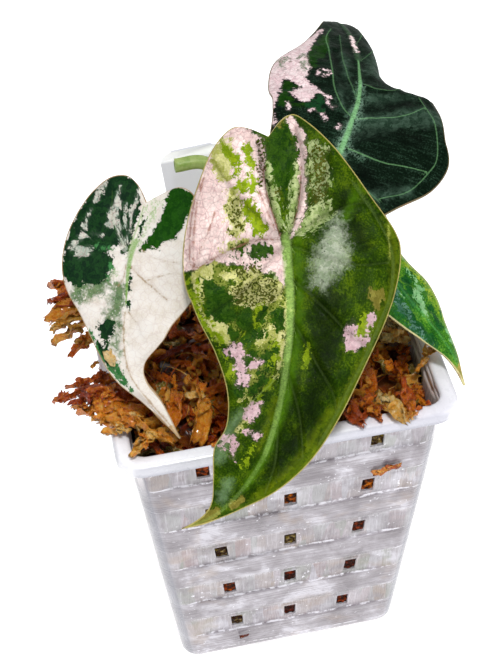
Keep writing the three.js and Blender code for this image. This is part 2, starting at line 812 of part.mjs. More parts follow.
// Strips that hang over the rim, chosen by hand: start, place over the rim's inner edge, end,
// half width and half thickness
const RIM_CHIPS = [
	[ [ - 33, - 31, - 11 ], [ - 43.5, - 28, 3 ], [ - 62, - 19, 3 ], 3.4, 1.6 ],
	[ [ - 33, - 24, - 11 ], [ - 43.5, - 20, 3.4 ], [ - 58, - 12, 4 ], 2.6, 1.4 ],
	[ [ - 33, - 36, - 11 ], [ - 43.5, - 35, 3 ], [ - 57, - 29, 2.6 ], 3.6, 1.6 ],
	[ [ - 28, - 34, - 11 ], [ - 41, - 41, 2.2 ], [ - 50, - 44, 2.4 ], 3, 1.4 ],
	[ [ - 33, 12, - 11 ], [ - 43.5, 12, 3.4 ], [ - 65, 11, 3.4 ], 3.6, 1.6 ],
	[ [ - 33, 18, - 11 ], [ - 43.5, 19, 3.6 ], [ - 63, 21, 4 ], 3.2, 1.5 ],
	[ [ - 33, 6, - 11 ], [ - 43.5, 5, 3 ], [ - 60, 3, 3.2 ], 2.6, 1.4 ],
	[ [ 18, - 33, - 11 ], [ 23, - 43.5, 2.6 ], [ 27, - 50, 2.2 ], 3, 1.4 ],
	[ [ 27, - 33, - 11 ], [ 31, - 43.5, 2.4 ], [ 34, - 48.5, 2 ], 2.8, 1.3 ],
	[ [ 6, - 34, - 11 ], [ 9, - 43.5, 2.4 ], [ 12, - 47.5, 2 ], 2.8, 1.3 ],
	[ [ 33, - 27, - 12 ], [ 43, - 22, 1.8 ], [ 47, - 20, 1.8 ], 1.5, 1 ],
];

function mossGeometry() {

	const inPot = ( top ) => solid( squareBar( insideLevels( top, GAP ), WALL_CORNER - WALL_THICK - GAP ) );
	const loose = union( scatteredChips() ).intersect( inPot( POT_HEIGHT * 1.2 ) );
	const overRim = RIM_CHIPS.map( ( [ from, over, to, wide, thick ] ) => {

		const curve = new THREE.CatmullRomCurve3( [ from, over, to ].map( aboveRim ), false, 'centripetal' );
		return strip( curve, CHIP_STEPS + 1, wide, thick );

	} );
	let moss = union( [ inPot( POT_HEIGHT + BED_TOP ), moundSolid(), loose, ...overRim ] );
	moss = moss.subtract( crownSolid( GAP ) ).subtract( labelGeometry( GAP ) ).subtract( cutStalkGeometry( GAP ) );
	for ( const leaf of Object.values( LEAVES ) ) moss = moss.subtract( stalkGeometry( leaf, GAP ) );
	return geometryOf( largestPiece( moss ) );

}

const potPlastic = new THREE.MeshStandardMaterial( { color: 0xe4e2ec, roughness: 0.35, metalness: 0 } );
const mossBrown = new THREE.MeshStandardMaterial( { color: 0xa65a22, roughness: 0.75, metalness: 0 } );
const stalkGreen = new THREE.MeshStandardMaterial( { color: 0x8fb35c, roughness: 0.45, metalness: 0 } );
const crownGreen = new THREE.MeshStandardMaterial( { color: 0x9a8a55, roughness: 0.6, metalness: 0 } );
const labelWhite = new THREE.MeshStandardMaterial( { color: 0xf1f1f6, roughness: 0.4, metalness: 0 } );
const bladeColours = { front: 0x5f8a22, left: 0xd9cfc4, back: 0x14372a, right: 0x2f6b32 };

const plant = new THREE.Group();

function addPiece( name, geometry, material ) {

	const mesh = new THREE.Mesh( geometry, material );
	mesh.name = name;
	plant.add( mesh );

}

addPiece( 'pot', potGeometry(), potPlastic );
addPiece( 'moss', mossGeometry(), mossBrown );
addPiece( 'crown', crownGeometry(), crownGreen );
for ( const [ name, leaf ] of Object.entries( LEAVES ) ) {

	const skin = new THREE.MeshStandardMaterial( { color: bladeColours[ name ], roughness: 0.35, metalness: 0 } );
	addPiece( `leaf_${ name }`, geometryOf( bladeGeometry( leaf ) ), skin );
	addPiece( `stalk_${ name }`, geometryOf( stalkGeometry( leaf, 0 ) ), stalkGreen );

}

addPiece( 'stalk_cut', geometryOf( cutStalkGeometry( 0 ) ), stalkGreen );
addPiece( 'label', geometryOf( labelGeometry( 0 ) ), labelWhite );

export default plant;
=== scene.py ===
import math

import bmesh
import bpy
import numpy as np
from mathutils import Matrix, Vector, noise


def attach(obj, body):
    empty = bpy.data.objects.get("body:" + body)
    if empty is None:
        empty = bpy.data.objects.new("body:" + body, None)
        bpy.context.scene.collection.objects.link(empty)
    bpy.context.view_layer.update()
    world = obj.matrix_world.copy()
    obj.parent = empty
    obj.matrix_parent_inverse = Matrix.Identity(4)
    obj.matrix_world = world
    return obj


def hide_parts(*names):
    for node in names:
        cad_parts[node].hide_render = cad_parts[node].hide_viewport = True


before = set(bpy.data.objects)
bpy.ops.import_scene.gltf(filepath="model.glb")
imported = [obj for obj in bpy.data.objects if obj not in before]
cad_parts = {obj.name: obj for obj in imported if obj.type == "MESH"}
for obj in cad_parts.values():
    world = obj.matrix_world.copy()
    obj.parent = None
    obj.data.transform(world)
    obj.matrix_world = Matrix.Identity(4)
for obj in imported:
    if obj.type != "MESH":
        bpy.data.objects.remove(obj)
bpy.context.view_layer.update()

# Every shape is drawn in millimetres in the pot's frame and brought to metres when its mesh is made
MM = 0.001
POT_HEIGHT = 133.0
RIM_CORNER, RIM_CORNER_INSIDE = 7.5, 4.1
WALL_TOP, WALL_TOP_HALF, WALL_BASE_HALF = 128.5, 46.3, 37.6
WALL_THICK, WALL_CORNER, FOOT_RADIUS = 1.4, 5.5, 6.5
# Rows of windows: how far the first lies below the rim, their pitch, their recessed band, and where the
# outer windows stand in the first row and how far they move in with each row
ROW_COUNT, ROW_TOP_DROP, ROW_PITCH = 5, 11.8, 24.0
BAND_HALF, BAND_RECESS, BAND_STEP = 5.6, 0.4, 0.5
HOLE_HALF, HOLE_TALL_HALF = 2.0, 3.3
FRAME_INNER, FRAME_OUTER = 0.35, 0.8
COLUMN_TOP, COLUMN_STEP = 26.0, 1.9
# Square grid of drains in the floor, and the slope that joins the floor to the wall's foot
DRAIN_SIDE, DRAIN_RADIUS, DRAIN_PITCH, FOOT_SLOPE = 4, 2.2, 14.0, 1.6
GAP = 0.3
CROWN, CROWN_TOP = (3.0, 4.0), -3.0
SOCKET_COUNT, SOCKET_RING, SOCKET_DEPTH = 5, 3.9, 6.0
ROOT_COUNT = 5
BLADE_THICK, BLADE_GAP = 0.7, 0.1
BED_TOP, BED_LIMIT = -9.5, 41.5
MOUND_HEIGHT, MOUND_RADIUS, MOUND_PLACE = 5.0, 38.0, (-5.0, -3.0)
STRAND_COUNT, FLAKE_COUNT, FIBRE_COUNT = 150, 600, 260
# Beyond this half width a piece of moss hangs over the rim, where the bed doesn't shade it
RIM_INSIDE = 45
LABEL_WIDTH, LABEL_LENGTH, LABEL_THICK, LABEL_CORNER, LABEL_POINT, LABEL_SHOWS = 20.0, 74.0, 0.8, 4.0, 12.0, 37
PATH_STEPS = 400
FLOOR_CELLS = 40
TINY = 1e-6


def tone(red, green, blue):
    """A colour named by its screen values from 0 to 255"""
    def linear(value):
        share = value / 255
        return share / 12.92 if share <= 0.04045 else ((share + 0.055) / 1.055) ** 2.4
    return (linear(red), linear(green), linear(blue), 1.0)


def fade(values, low, high):
    """Smooth climb from 0 to 1 between two values"""
    share = np.clip((np.asarray(values, float) - low) / (high - low), 0, 1)
    return share * share * (3 - 2 * share)


def lerp(a, b, share):
    return a + (b - a) * share


def unit(ways):
    return ways / np.maximum(np.linalg.norm(ways, axis=1)[:, None], TINY)


def wobble(points, size, seed=0.0):
    """Smooth noise from about -1 to 1 at each point, with bumps of a size in millimetres"""
    return np.array([noise.noise(Vector((p[0] / size + seed, p[1] / size, p[2] / size))) for p in points])


def above_rim(point):
    return np.array([point[0], point[1], POT_HEIGHT + point[2]])


# Paths


def smooth_path(points, t, centripetal=True):
    """Points on a smooth curve through the given ones, at shares t of its spans"""
    points = np.asarray(points, float)
    spans = len(points) - 1
    if centripetal:
        padded = np.vstack([2 * points[0] - points[1], points, 2 * points[-1] - points[-2]])
    else:
        padded = np.vstack([points[0], points, points[-1]])
    place = np.clip(np.asarray(t, float), 0, 1) * spans
    span = np.minimum(place.astype(int), spans - 1)
    w = (place - span)[:, None]
    a, b, c, d = (padded[span + k] for k in range(4))
    if centripetal:
        gap_a, gap_b, gap_c = (
            np.sqrt(np.linalg.norm(q - p, axis=1))[:, None] for p, q in ((a, b), (b, c), (c, d))
        )
        out = ((b - a) / gap_a - (c - a) / (gap_a + gap_b) + (c - b) / gap_b) * gap_b
        into = ((c - b) / gap_b - (d - b) / (gap_b + gap_c) + (d - c) / gap_c) * gap_b
    else:
        out, into = (c - a) / 2, (d - b) / 2
    cubic = 2 * b - 2 * c + out + into
    square = 3 * c - 3 * b - 2 * out - into
    return b + out * w + square * w ** 2 + cubic * w ** 3


class Path:
    """A smooth curve that is read by the share of its length"""

    def __init__(self, points):
        self.points = np.asarray(points, float)
        self.shares = np.linspace(0, 1, PATH_STEPS + 1)
        steps = np.linalg.norm(np.diff(smooth_path(self.points, self.shares), axis=0), axis=1)
        self.lengths = np.concatenate([[0], np.cumsum(steps)])
        self.length = self.lengths[-1]

    def read(self, reach):
        share = np.interp(np.asarray(reach, float) * self.length, self.lengths, self.shares)
        after = smooth_path(self.points, np.minimum(share + 1e-4, 1))
        before = smooth_path(self.points, np.maximum(share - 1e-4, 0))
        return smooth_path(self.points, share), unit(after - before)

    def section(self, reach):
        """Middle and forward way at each share of the length, and the two ways across it"""
        centre, forward = self.read(reach)
        side = unit(np.cross(forward, (0.12, 0.21, 0.97)))
        return centre, forward, side, np.cross(side, forward)


# Meshes


def shaped_grid(mesh, rows, columns, shape, close=True):
    """Adds a grid and moves its corners to shape(row share, column share), then closes its seams"""
    verts = bmesh.ops.create_grid(mesh, x_segments=rows, y_segments=columns, size=1)["verts"]
    flat = np.array([vert.co[:] for vert in verts])
    placed = shape((flat[:, 0] + 1) / 2, (flat[:, 1] + 1) / 2)
    for vert, spot in zip(verts, placed):
        vert.co = spot
    if close:
        bmesh.ops.remove_doubles(mesh, verts=verts, dist=1e-4)
    return verts


def ring_grid(mesh, rings):
    """Adds a surface through rings that each have the same number of places"""
    table = np.array(rings)
    rows, columns = table.shape[0] - 1, table.shape[1] - 1

    def shape(t, s):
        return table[np.round(t * rows).astype(int), np.round(s * columns).astype(int)]

    return shaped_grid(mesh, rows, columns, shape)


def capped(t, rings):
    """Reach along a closed bar at each ring, and a share that is 0 at its two end points"""
    reach = np.clip((t * rings - 1) / (rings - 2), 0, 1)
    return reach, (t * rings > 0.5) & (t * rings < rings - 0.5)


def swept(mesh, path, size, rings, sides):
    """Adds a closed round bar along a path: size(t) is its radius, and it comes to a point at its ends"""

    def shape(t, s):
        reach, ends = capped(t, rings)
        centre, _, side, lift = path.section(reach)
        angle = -2 * np.pi * s
        radius = np.array([size(value) for value in reach]) * ends
        return centre + side * (radius * np.cos(angle))[:, None] + lift * (radius * np.sin(angle))[:, None]

    shaped_grid(mesh, rings, sides, shape)


def plain_bar(mesh, rings, sides, size, taper):
    """Adds a closed straight bar along X from 0 to 1"""

    def shape(t, s):
        reach, ends = capped(t, rings)
        radius = size * ends * (1 - taper * reach)
        return np.column_stack([reach, radius * np.cos(-2 * np.pi * s), radius * np.sin(-2 * np.pi * s)])

    shaped_grid(mesh, rings, sides, shape)


def rounded(x, y, half, corner):
    """Pulls the places near a square's corners back onto its roundings"""
    past_x, past_y = np.abs(x) - half + corner, np.abs(y) - half + corner
    both = (past_x > 0) & (past_y > 0)
    shrink = np.where(both, np.maximum(past_x, past_y) / np.maximum(np.hypot(past_x, past_y), TINY), 1)
    x = np.where(both, np.sign(x) * (half - corner + past_x * shrink), x)
    return x, np.where(both, np.sign(y) * (half - corner + past_y * shrink), y)


def as_data(name, mesh):
    data = bpy.data.meshes.new(name)
    mesh.to_mesh(data)
    mesh.free()
    return data


def shown(name, data):
    piece = bpy.data.objects.new(name, data)
    bpy.context.scene.collection.objects.link(piece)
    return piece


def finish_piece(name, data, materials, replaced=(), smooth=True):
    """Brings a mesh to metres and hangs it on the plant as one named piece"""
    if isinstance(data, bmesh.types.BMesh):
        data = as_data(name, data)
    data.name = name
    data.transform(Matrix.Scale(MM, 4))
    if smooth:
        data.shade_smooth()
    else:
        data.shade_flat()
    piece = shown(name, data)
    if data.materials:
        data.materials.clear()
    for material in materials:
        data.materials.append(material)
    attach(piece, "root")
    if replaced:
        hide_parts(*replaced)
    return piece


def mark(data, name, values, kind="FLOAT"):
    """Keeps a value for each corner of a mesh, for its material to read"""
    layer = data.attributes.new(name, kind, "POINT")
    layer.data.foreach_set("value" if kind == "FLOAT" else "vector", np.asarray(values, np.float32).ravel())


def corners(data):
    spots = np.zeros(len(data.vertices) * 3, np.float32)
    data.vertices.foreach_get("co", spots)
    return spots.reshape(-1, 3).astype(float)


def many(template, count):
    """One mesh with many copies of a small one, still all in the same place"""
    data = as_data("copies", template)
    holder = shown("copies", data)
    repeat = holder.modifiers.new("repeat", "ARRAY")
    repeat.count = count
    repeat.use_relative_offset = False
    repeat.use_constant_offset = True
    repeat.constant_offset_displace = (0, 0, 0)
    seen = bpy.context.evaluated_depsgraph_get()
    copies = bpy.data.meshes.new_from_object(holder.evaluated_get(seen))
    bpy.data.objects.remove(holder)
    return copies, corners(data)


# Material building blocks


class Field:
    """A value or colour inside a material, so that its sums can be written as sums"""

    def __init__(self, nodes, socket):
        self.nodes, self.socket = nodes, socket

    def __add__(self, other):
        return self.nodes.sum("ADD", self, other)

    def __sub__(self, other):
        return self.nodes.sum("SUBTRACT", self, other)

    def __rsub__(self, other):
        return self.nodes.sum("SUBTRACT", other, self)

    def __mul__(self, other):
        return self.nodes.sum("MULTIPLY", self, other)

    def __abs__(self):
        return self.nodes.sum("ABSOLUTE", self)


class Nodes:
    """Short calls for the shader nodes that the finishes are made of"""

    def __init__(self, tree, material=None):
        self.tree, self.material = tree, material

    def make(self, kind, feeds=None, **settings):
        node = self.tree.nodes.new(kind)
        for name, value in settings.items():
            setattr(node, name, value)
        for socket, value in (feeds or {}).items():
            self.feed(node.inputs[socket], value)
        return node

    def add(self, kind, feeds=None, out=0, **settings):
        return Field(self, self.make(kind, feeds, **settings).outputs[out])

    def feed(self, socket, value):
        if isinstance(value, Field):
            self.tree.links.new(value.socket, socket)
        else:
            socket.default_value = value

    def sum(self, kind, a, b=0.0):
        return self.add("ShaderNodeMath", {0: a, 1: b}, operation=kind)

    def step(self, value, low, high, start=0.0, end=1.0):
        feeds = {"Value": value, "From Min": low, "From Max": high, "To Min": start, "To Max": end}
        return self.add("ShaderNodeMapRange", feeds, "Result", interpolation_type="SMOOTHSTEP")

    def blend(self, share, a, b, kind="MIX"):
        return self.add("ShaderNodeMix", {0: share, 6: a, 7: b}, 2, data_type="RGBA", blend_type=kind)

    def noise(self, place, scale, detail=3.0, rough=0.55, bend=0.0, out=0):
        feeds = {"Vector": place, "Scale": scale, "Detail": detail, "Roughness": rough, "Distortion": bend}
        return self.add("ShaderNodeTexNoise", feeds, out)

    def patches(self, place, scale, detail, low, high, rough=0.55):
        """Soft uneven patches between two values"""
        return self.step(self.noise(place, scale, detail, rough), 0.3, 0.7, low, high)

    def ramp(self, value, stops):
        node = self.make("ShaderNodeValToRGB", {"Fac": value})
        marks = node.color_ramp.elements
        while len(marks) < len(stops):
            marks.new(0.5)
        for stop, (at, colour) in zip(marks, stops):
            stop.position = at
            stop.color = colour
        return Field(self, node.outputs["Color"])

    def stretch(self, place, scale):
        return self.add("ShaderNodeMapping", {"Vector": place, "Scale": scale})

    def value(self, name):
        return self.add("ShaderNodeAttribute", None, "Fac", attribute_name=name)

    def vector(self, name):
        return self.add("ShaderNodeAttribute", None, "Vector", attribute_name=name)

    def shifted(self, place, way):
        return self.add("ShaderNodeVectorMath", {0: place, 1: way}, operation="ADD")

    def place(self):
        """The piece's own coordinates, in millimetres"""
        return self.stretch(self.add("ShaderNodeTexCoord", None, "Object"), (1000, 1000, 1000))

    def height(self, place):
        return self.add("ShaderNodeSeparateXYZ", {"Vector": place}, 2)

    def use(self, group, **feeds):
        return self.add("ShaderNodeGroup", feeds, node_tree=group)

    def dress(self, colour, dullness, height, distance, strength=1.0):
        """Feeds the main shader its colour, roughness and fine relief, and gives back the material"""
        face = self.tree.nodes["Principled BSDF"].inputs
        self.feed(face["Base Color"], colour)
        self.feed(face["Roughness"], dullness)
        feeds = {"Height": height, "Distance": distance * MM, "Strength": strength}
        self.feed(face["Normal"], self.add("ShaderNodeBump", feeds))
        return self.material


def new_group(name, output, **inputs):
    """An empty node group with named inputs and one output: an input without a number is a place"""
    tree = bpy.data.node_groups.new(name, "ShaderNodeTree")
    for label, value in inputs.items():
        kind = "Vector" if value is None else "Float"
        socket = tree.interface.new_socket(label, in_out="INPUT", socket_type="NodeSocket" + kind)
        if value is not None:
            socket.default_value = value
    tree.interface.new_socket(output, in_out="OUTPUT", socket_type="NodeSocketFloat")
    nodes = Nodes(tree)
    given = {socket.name: Field(nodes, socket) for socket in nodes.make("NodeGroupInput").outputs}
    return nodes, given, nodes.make("NodeGroupOutput").inputs[0]


def cell_grain():
    """Small irregular cells, each with its own value from 0 to 1"""
    nodes, given, result = new_group("cell_grain", "Value", Place=None, Size=1)
    scale = nodes.sum("DIVIDE", 1.0, given["Size"])
    feeds = {"Vector": given["Place"], "Scale": scale, "Detail": 2.0}
    warp = nodes.add("ShaderNodeTexNoise", feeds, "Color")
    reach = nodes.add("ShaderNodeVectorMath", {0: warp, "Scale": given["Size"]}, operation="SCALE")
    feeds = {"Vector": nodes.shifted(given["Place"], reach), "Scale": scale}
    cells = nodes.add("ShaderNodeTexVoronoi", feeds, "Color")
    nodes.feed(result, nodes.add("ShaderNodeSeparateColor", {"Color": cells}))
    return nodes.tree


def torn_edge():
    """1 inside a patch whose field is its depth in millimetres, with its edge torn by a second field"""
    nodes, given, result = new_group("torn_edge", "Mask", Field=0, Torn=0, Ragged=1, Soft=0.1)
    depth = given["Field"] + given["Torn"] * given["Ragged"]
    nodes.feed(result, nodes.step(depth, given["Soft"] * -1.0, given["Soft"]))
    return nodes.tree


def vein_net():
    """Fine closed net of lines, as between a leaf's veins"""
    nodes, given, result = new_group("vein_net", "Mask", Place=None, Size=2, Width=0.05)
    scale = nodes.sum("DIVIDE", 1.0, given["Size"])
    warp = nodes.add("ShaderNodeTexNoise", {"Vector": given["Place"], "Scale": 0.5, "Detail": 2.0}, "Color")
    feeds = {"Vector": nodes.shifted(given["Place"], warp), "Scale": scale}
    away = nodes.add("ShaderNodeTexVoronoi", feeds, "Distance", feature="DISTANCE_TO_EDGE")
    nodes.feed(result, nodes.step(away, 0.0, given["Width"], 1.0, 0.0))
    return nodes.tree


CELLS = cell_grain()
TORN = torn_edge()
NET = vein_net()


def new_finish(name, colour, **settings):
    """A new material's nodes, with the values of its main shader that are the same all over it"""
    material = bpy.data.materials.new(name)
    material.use_nodes = True
    material.diffuse_color = colour
    shader = material.node_tree.nodes["Principled BSDF"]
    for socket, value in settings.items():
        shader.inputs[socket.replace("_", " ")].default_value = value
    return Nodes(material.node_tree, material)


# Leaves: where each midrib runs above the rim, the way its face looks along it, and its outline as rows
# of spine, right edge and left edge, all measured along and across the flat blade from its stalk; then
# how the blade cups, droops and waves (height, count, start), how it rolls over its left side between two
# places, its grid, its stalk's socket in the crown, and where the stalk bends
LEAVES = {
    "front": {
        "midrib": [
            (12, 1, 62), (7, -16, 46), (5, -30, 36), (1, -42, 26), (-5, -53, 17),
            (-13, -62, 9), (-21, -67, 3), (-28, -69, -1), (-36, -68.5, -5),
        ],
        "faces": [(-0.05, -0.5, 0.86), (-0.05, -0.55, 0.83), (-0.1, -0.65, 0.75), (-0.15, -0.75, 0.65)],
        "keel": 0.1, "droop": 0.004, "wave": (0.9, 5.5, 0.6),
        "rows": [
            [(-27.5, 7), (-27.5, 7), (-27.5, 7)], [(-24, 5.5), (-29.5, 13), (-32, 3.8)],
            [(-19, 4), (-29, 17.5), (-34, 0.5)], [(-13, 2.5), (-23.5, 22), (-32, -3.5)],
            [(-7, 1), (-15, 25), (-25, -11.5)], [(-2, 0), (-4, 28), (-14, -21)],
            [(4, 0), (5, 29.5), (-2, -29)], [(12, 0), (14, 28.8), (9, -30)],
            [(21, 0), (24, 25.8), (20, -25.8)], [(31, 0), (35, 20.2), (32, -20.5)],
            [(42, 0), (46, 15.2), (45, -16.3)], [(53, 0), (57, 12), (57, -12.5)],
            [(63, 0), (66, 12), (67, -8)], [(72, 0), (73.5, 7.7), (75, -4)],
            [(81, 0), (81.5, 1.8), (82, -1.6)], [(91.5, 0), (91.5, 0), (91.5, 0)],
        ],
        "grid": (250, 150), "socket": 0, "bend": (6, -4, 21),
    },
    "left": {
        "midrib": [
            (-29, 7, 47), (-36, -4, 38), (-40, -15, 29), (-42.5, -23, 22),
            (-42, -29, 15), (-37.5, -35, 9), (-31, -44, 3),
        ],
        "faces": [(-0.15, -0.45, 0.88), (-0.15, -0.5, 0.85), (-0.2, -0.6, 0.8), (-0.2, -0.65, 0.75)],
        "keel": 0.12, "droop": 0.004, "wave": (0.7, 4.5, 0.2),
        "rows": [
            [(-15.5, 0), (-15.5, 0), (-15.5, 0)], [(-13, 0), (-19.5, 3.5), (-20, -5)],
            [(-10, 0), (-21.5, 7.5), (-22, -9)], [(-7, 0), (-19.5, 12), (-20.5, -13)],
            [(-3, 0), (-13.5, 16), (-14.5, -16.5)], [(1, 0), (-5.5, 18.5), (-6, -19)],
            [(6, 0), (2.5, 19), (3, -20)], [(12, 0), (10, 17.2), (11, -19)],
            [(18, 0), (18, 12.5), (18.3, -14)], [(24, 0), (25, 8), (25, -11)],
            [(31, 0), (32, 5), (31.5, -5.5)], [(38, 0), (39.5, 2), (38.5, -3.5)],
            [(45, 0), (46, 1), (45.5, -3)], [(51, 0), (51.5, 0.6), (51.5, -1.5)],
            [(57, 0), (57, 0), (57, 0)],
        ],
        "grid": (184, 112), "socket": 4, "bend": (-12, 6, 17),
    },
    "back": {
        "midrib": [
            (22, 5, 43), (30, 17, 46), (35, 26, 47), (40, 36, 47), (46, 58, 43),
            (50, 84, 35.5), (49.5, 103, 26), (45, 111, 15),
        ],
        "faces": [(0, -0.1, 1), (0.1, 0, 1), (0.2, 0.2, 0.9), (0.3, 0.6, 0.7)],
        "keel": 0.1, "droop": 0.005, "wave": (1, 4.5, 0.1),
        "roll": {"begin": 27, "end": 46, "start": 1, "reach": 7, "turn": 1.25},
        "rows": [
            [(-15, 0), (-15, 0), (-15, 0)], [(-12.5, 0), (-22, 4.5), (-22, -4.5)],
            [(-10, 0), (-24.5, 11), (-24.5, -10)], [(-7, 0), (-20.5, 17), (-21, -16)],
            [(-4, 0), (-12.5, 23.6), (-13, -20)], [(0, 0), (-4.5, 28.5), (-1.5, -21.8)],
            [(7, 0), (4.5, 30.7), (8, -23.4)], [(15, 0), (12, 28.2), (18, -26.5)],
            [(25, 0), (20, 25.3), (29, -28)], [(35, 0), (28, 22), (39, -27.2)],
            [(46, 0), (37.5, 17), (50, -22.3)], [(58, 0), (50, 13.5), (62, -16.4)],
            [(70, 0), (64, 10.5), (74, -11)], [(82, 0), (79, 6.5), (85, -7)],
            [(95, 0), (94, 2.8), (97, -3.2)], [(109, 0), (109, 0), (109, 0)],
        ],
        "grid": (230, 132), "socket": 2, "bend": (8, 21, 22),
    },
    "right": {
        "midrib": [
            (26, 5, 31), (29, 0, 29), (36, -13, 24), (41, -22, 19), (46, -28, 13),
            (51, -34, 6), (54.5, -38, -3),
        ],
        "faces": [(0.2, -0.3, 0.9), (0.3, -0.3, 0.85), (0.45, -0.35, 0.8), (0.6, -0.4, 0.7)],
        "keel": 0, "droop": 0.014, "wave": (0.4, 4, 0.4),
        "rows": [
            [(-8, 0), (-8, 0), (-8, 0)], [(-6.5, 0), (-11.5, 3), (-11.5, -3)],
            [(-5, 0), (-13, 7), (-13, -7)], [(-3, 0), (-10.5, 10.5), (-10.5, -10)],
            [(1, 0), (-5, 12.8), (-5, -12)], [(6, 0), (2, 14), (2, -12)],
            [(12, 0), (10, 13.3), (10, -9.8)], [(18, 0), (18, 11), (17, -9.4)],
            [(25, 0), (25.5, 8.7), (25, -10.8)], [(32, 0), (32, 7.3), (33.5, -10.2)],
            [(39, 0), (38, 5.4), (39.6, -6.3)], [(46, 0.2), (44.5, 2.8), (45.5, -3)],
            [(52, 0.6), (52, 1.7), (52, -0.6)], [(57.5, 1.4), (57.5, 1.4), (57.5, 1.4)],
        ],
        "grid": (150, 76), "socket": 1, "bend": (13, 1, 15),
    },
}

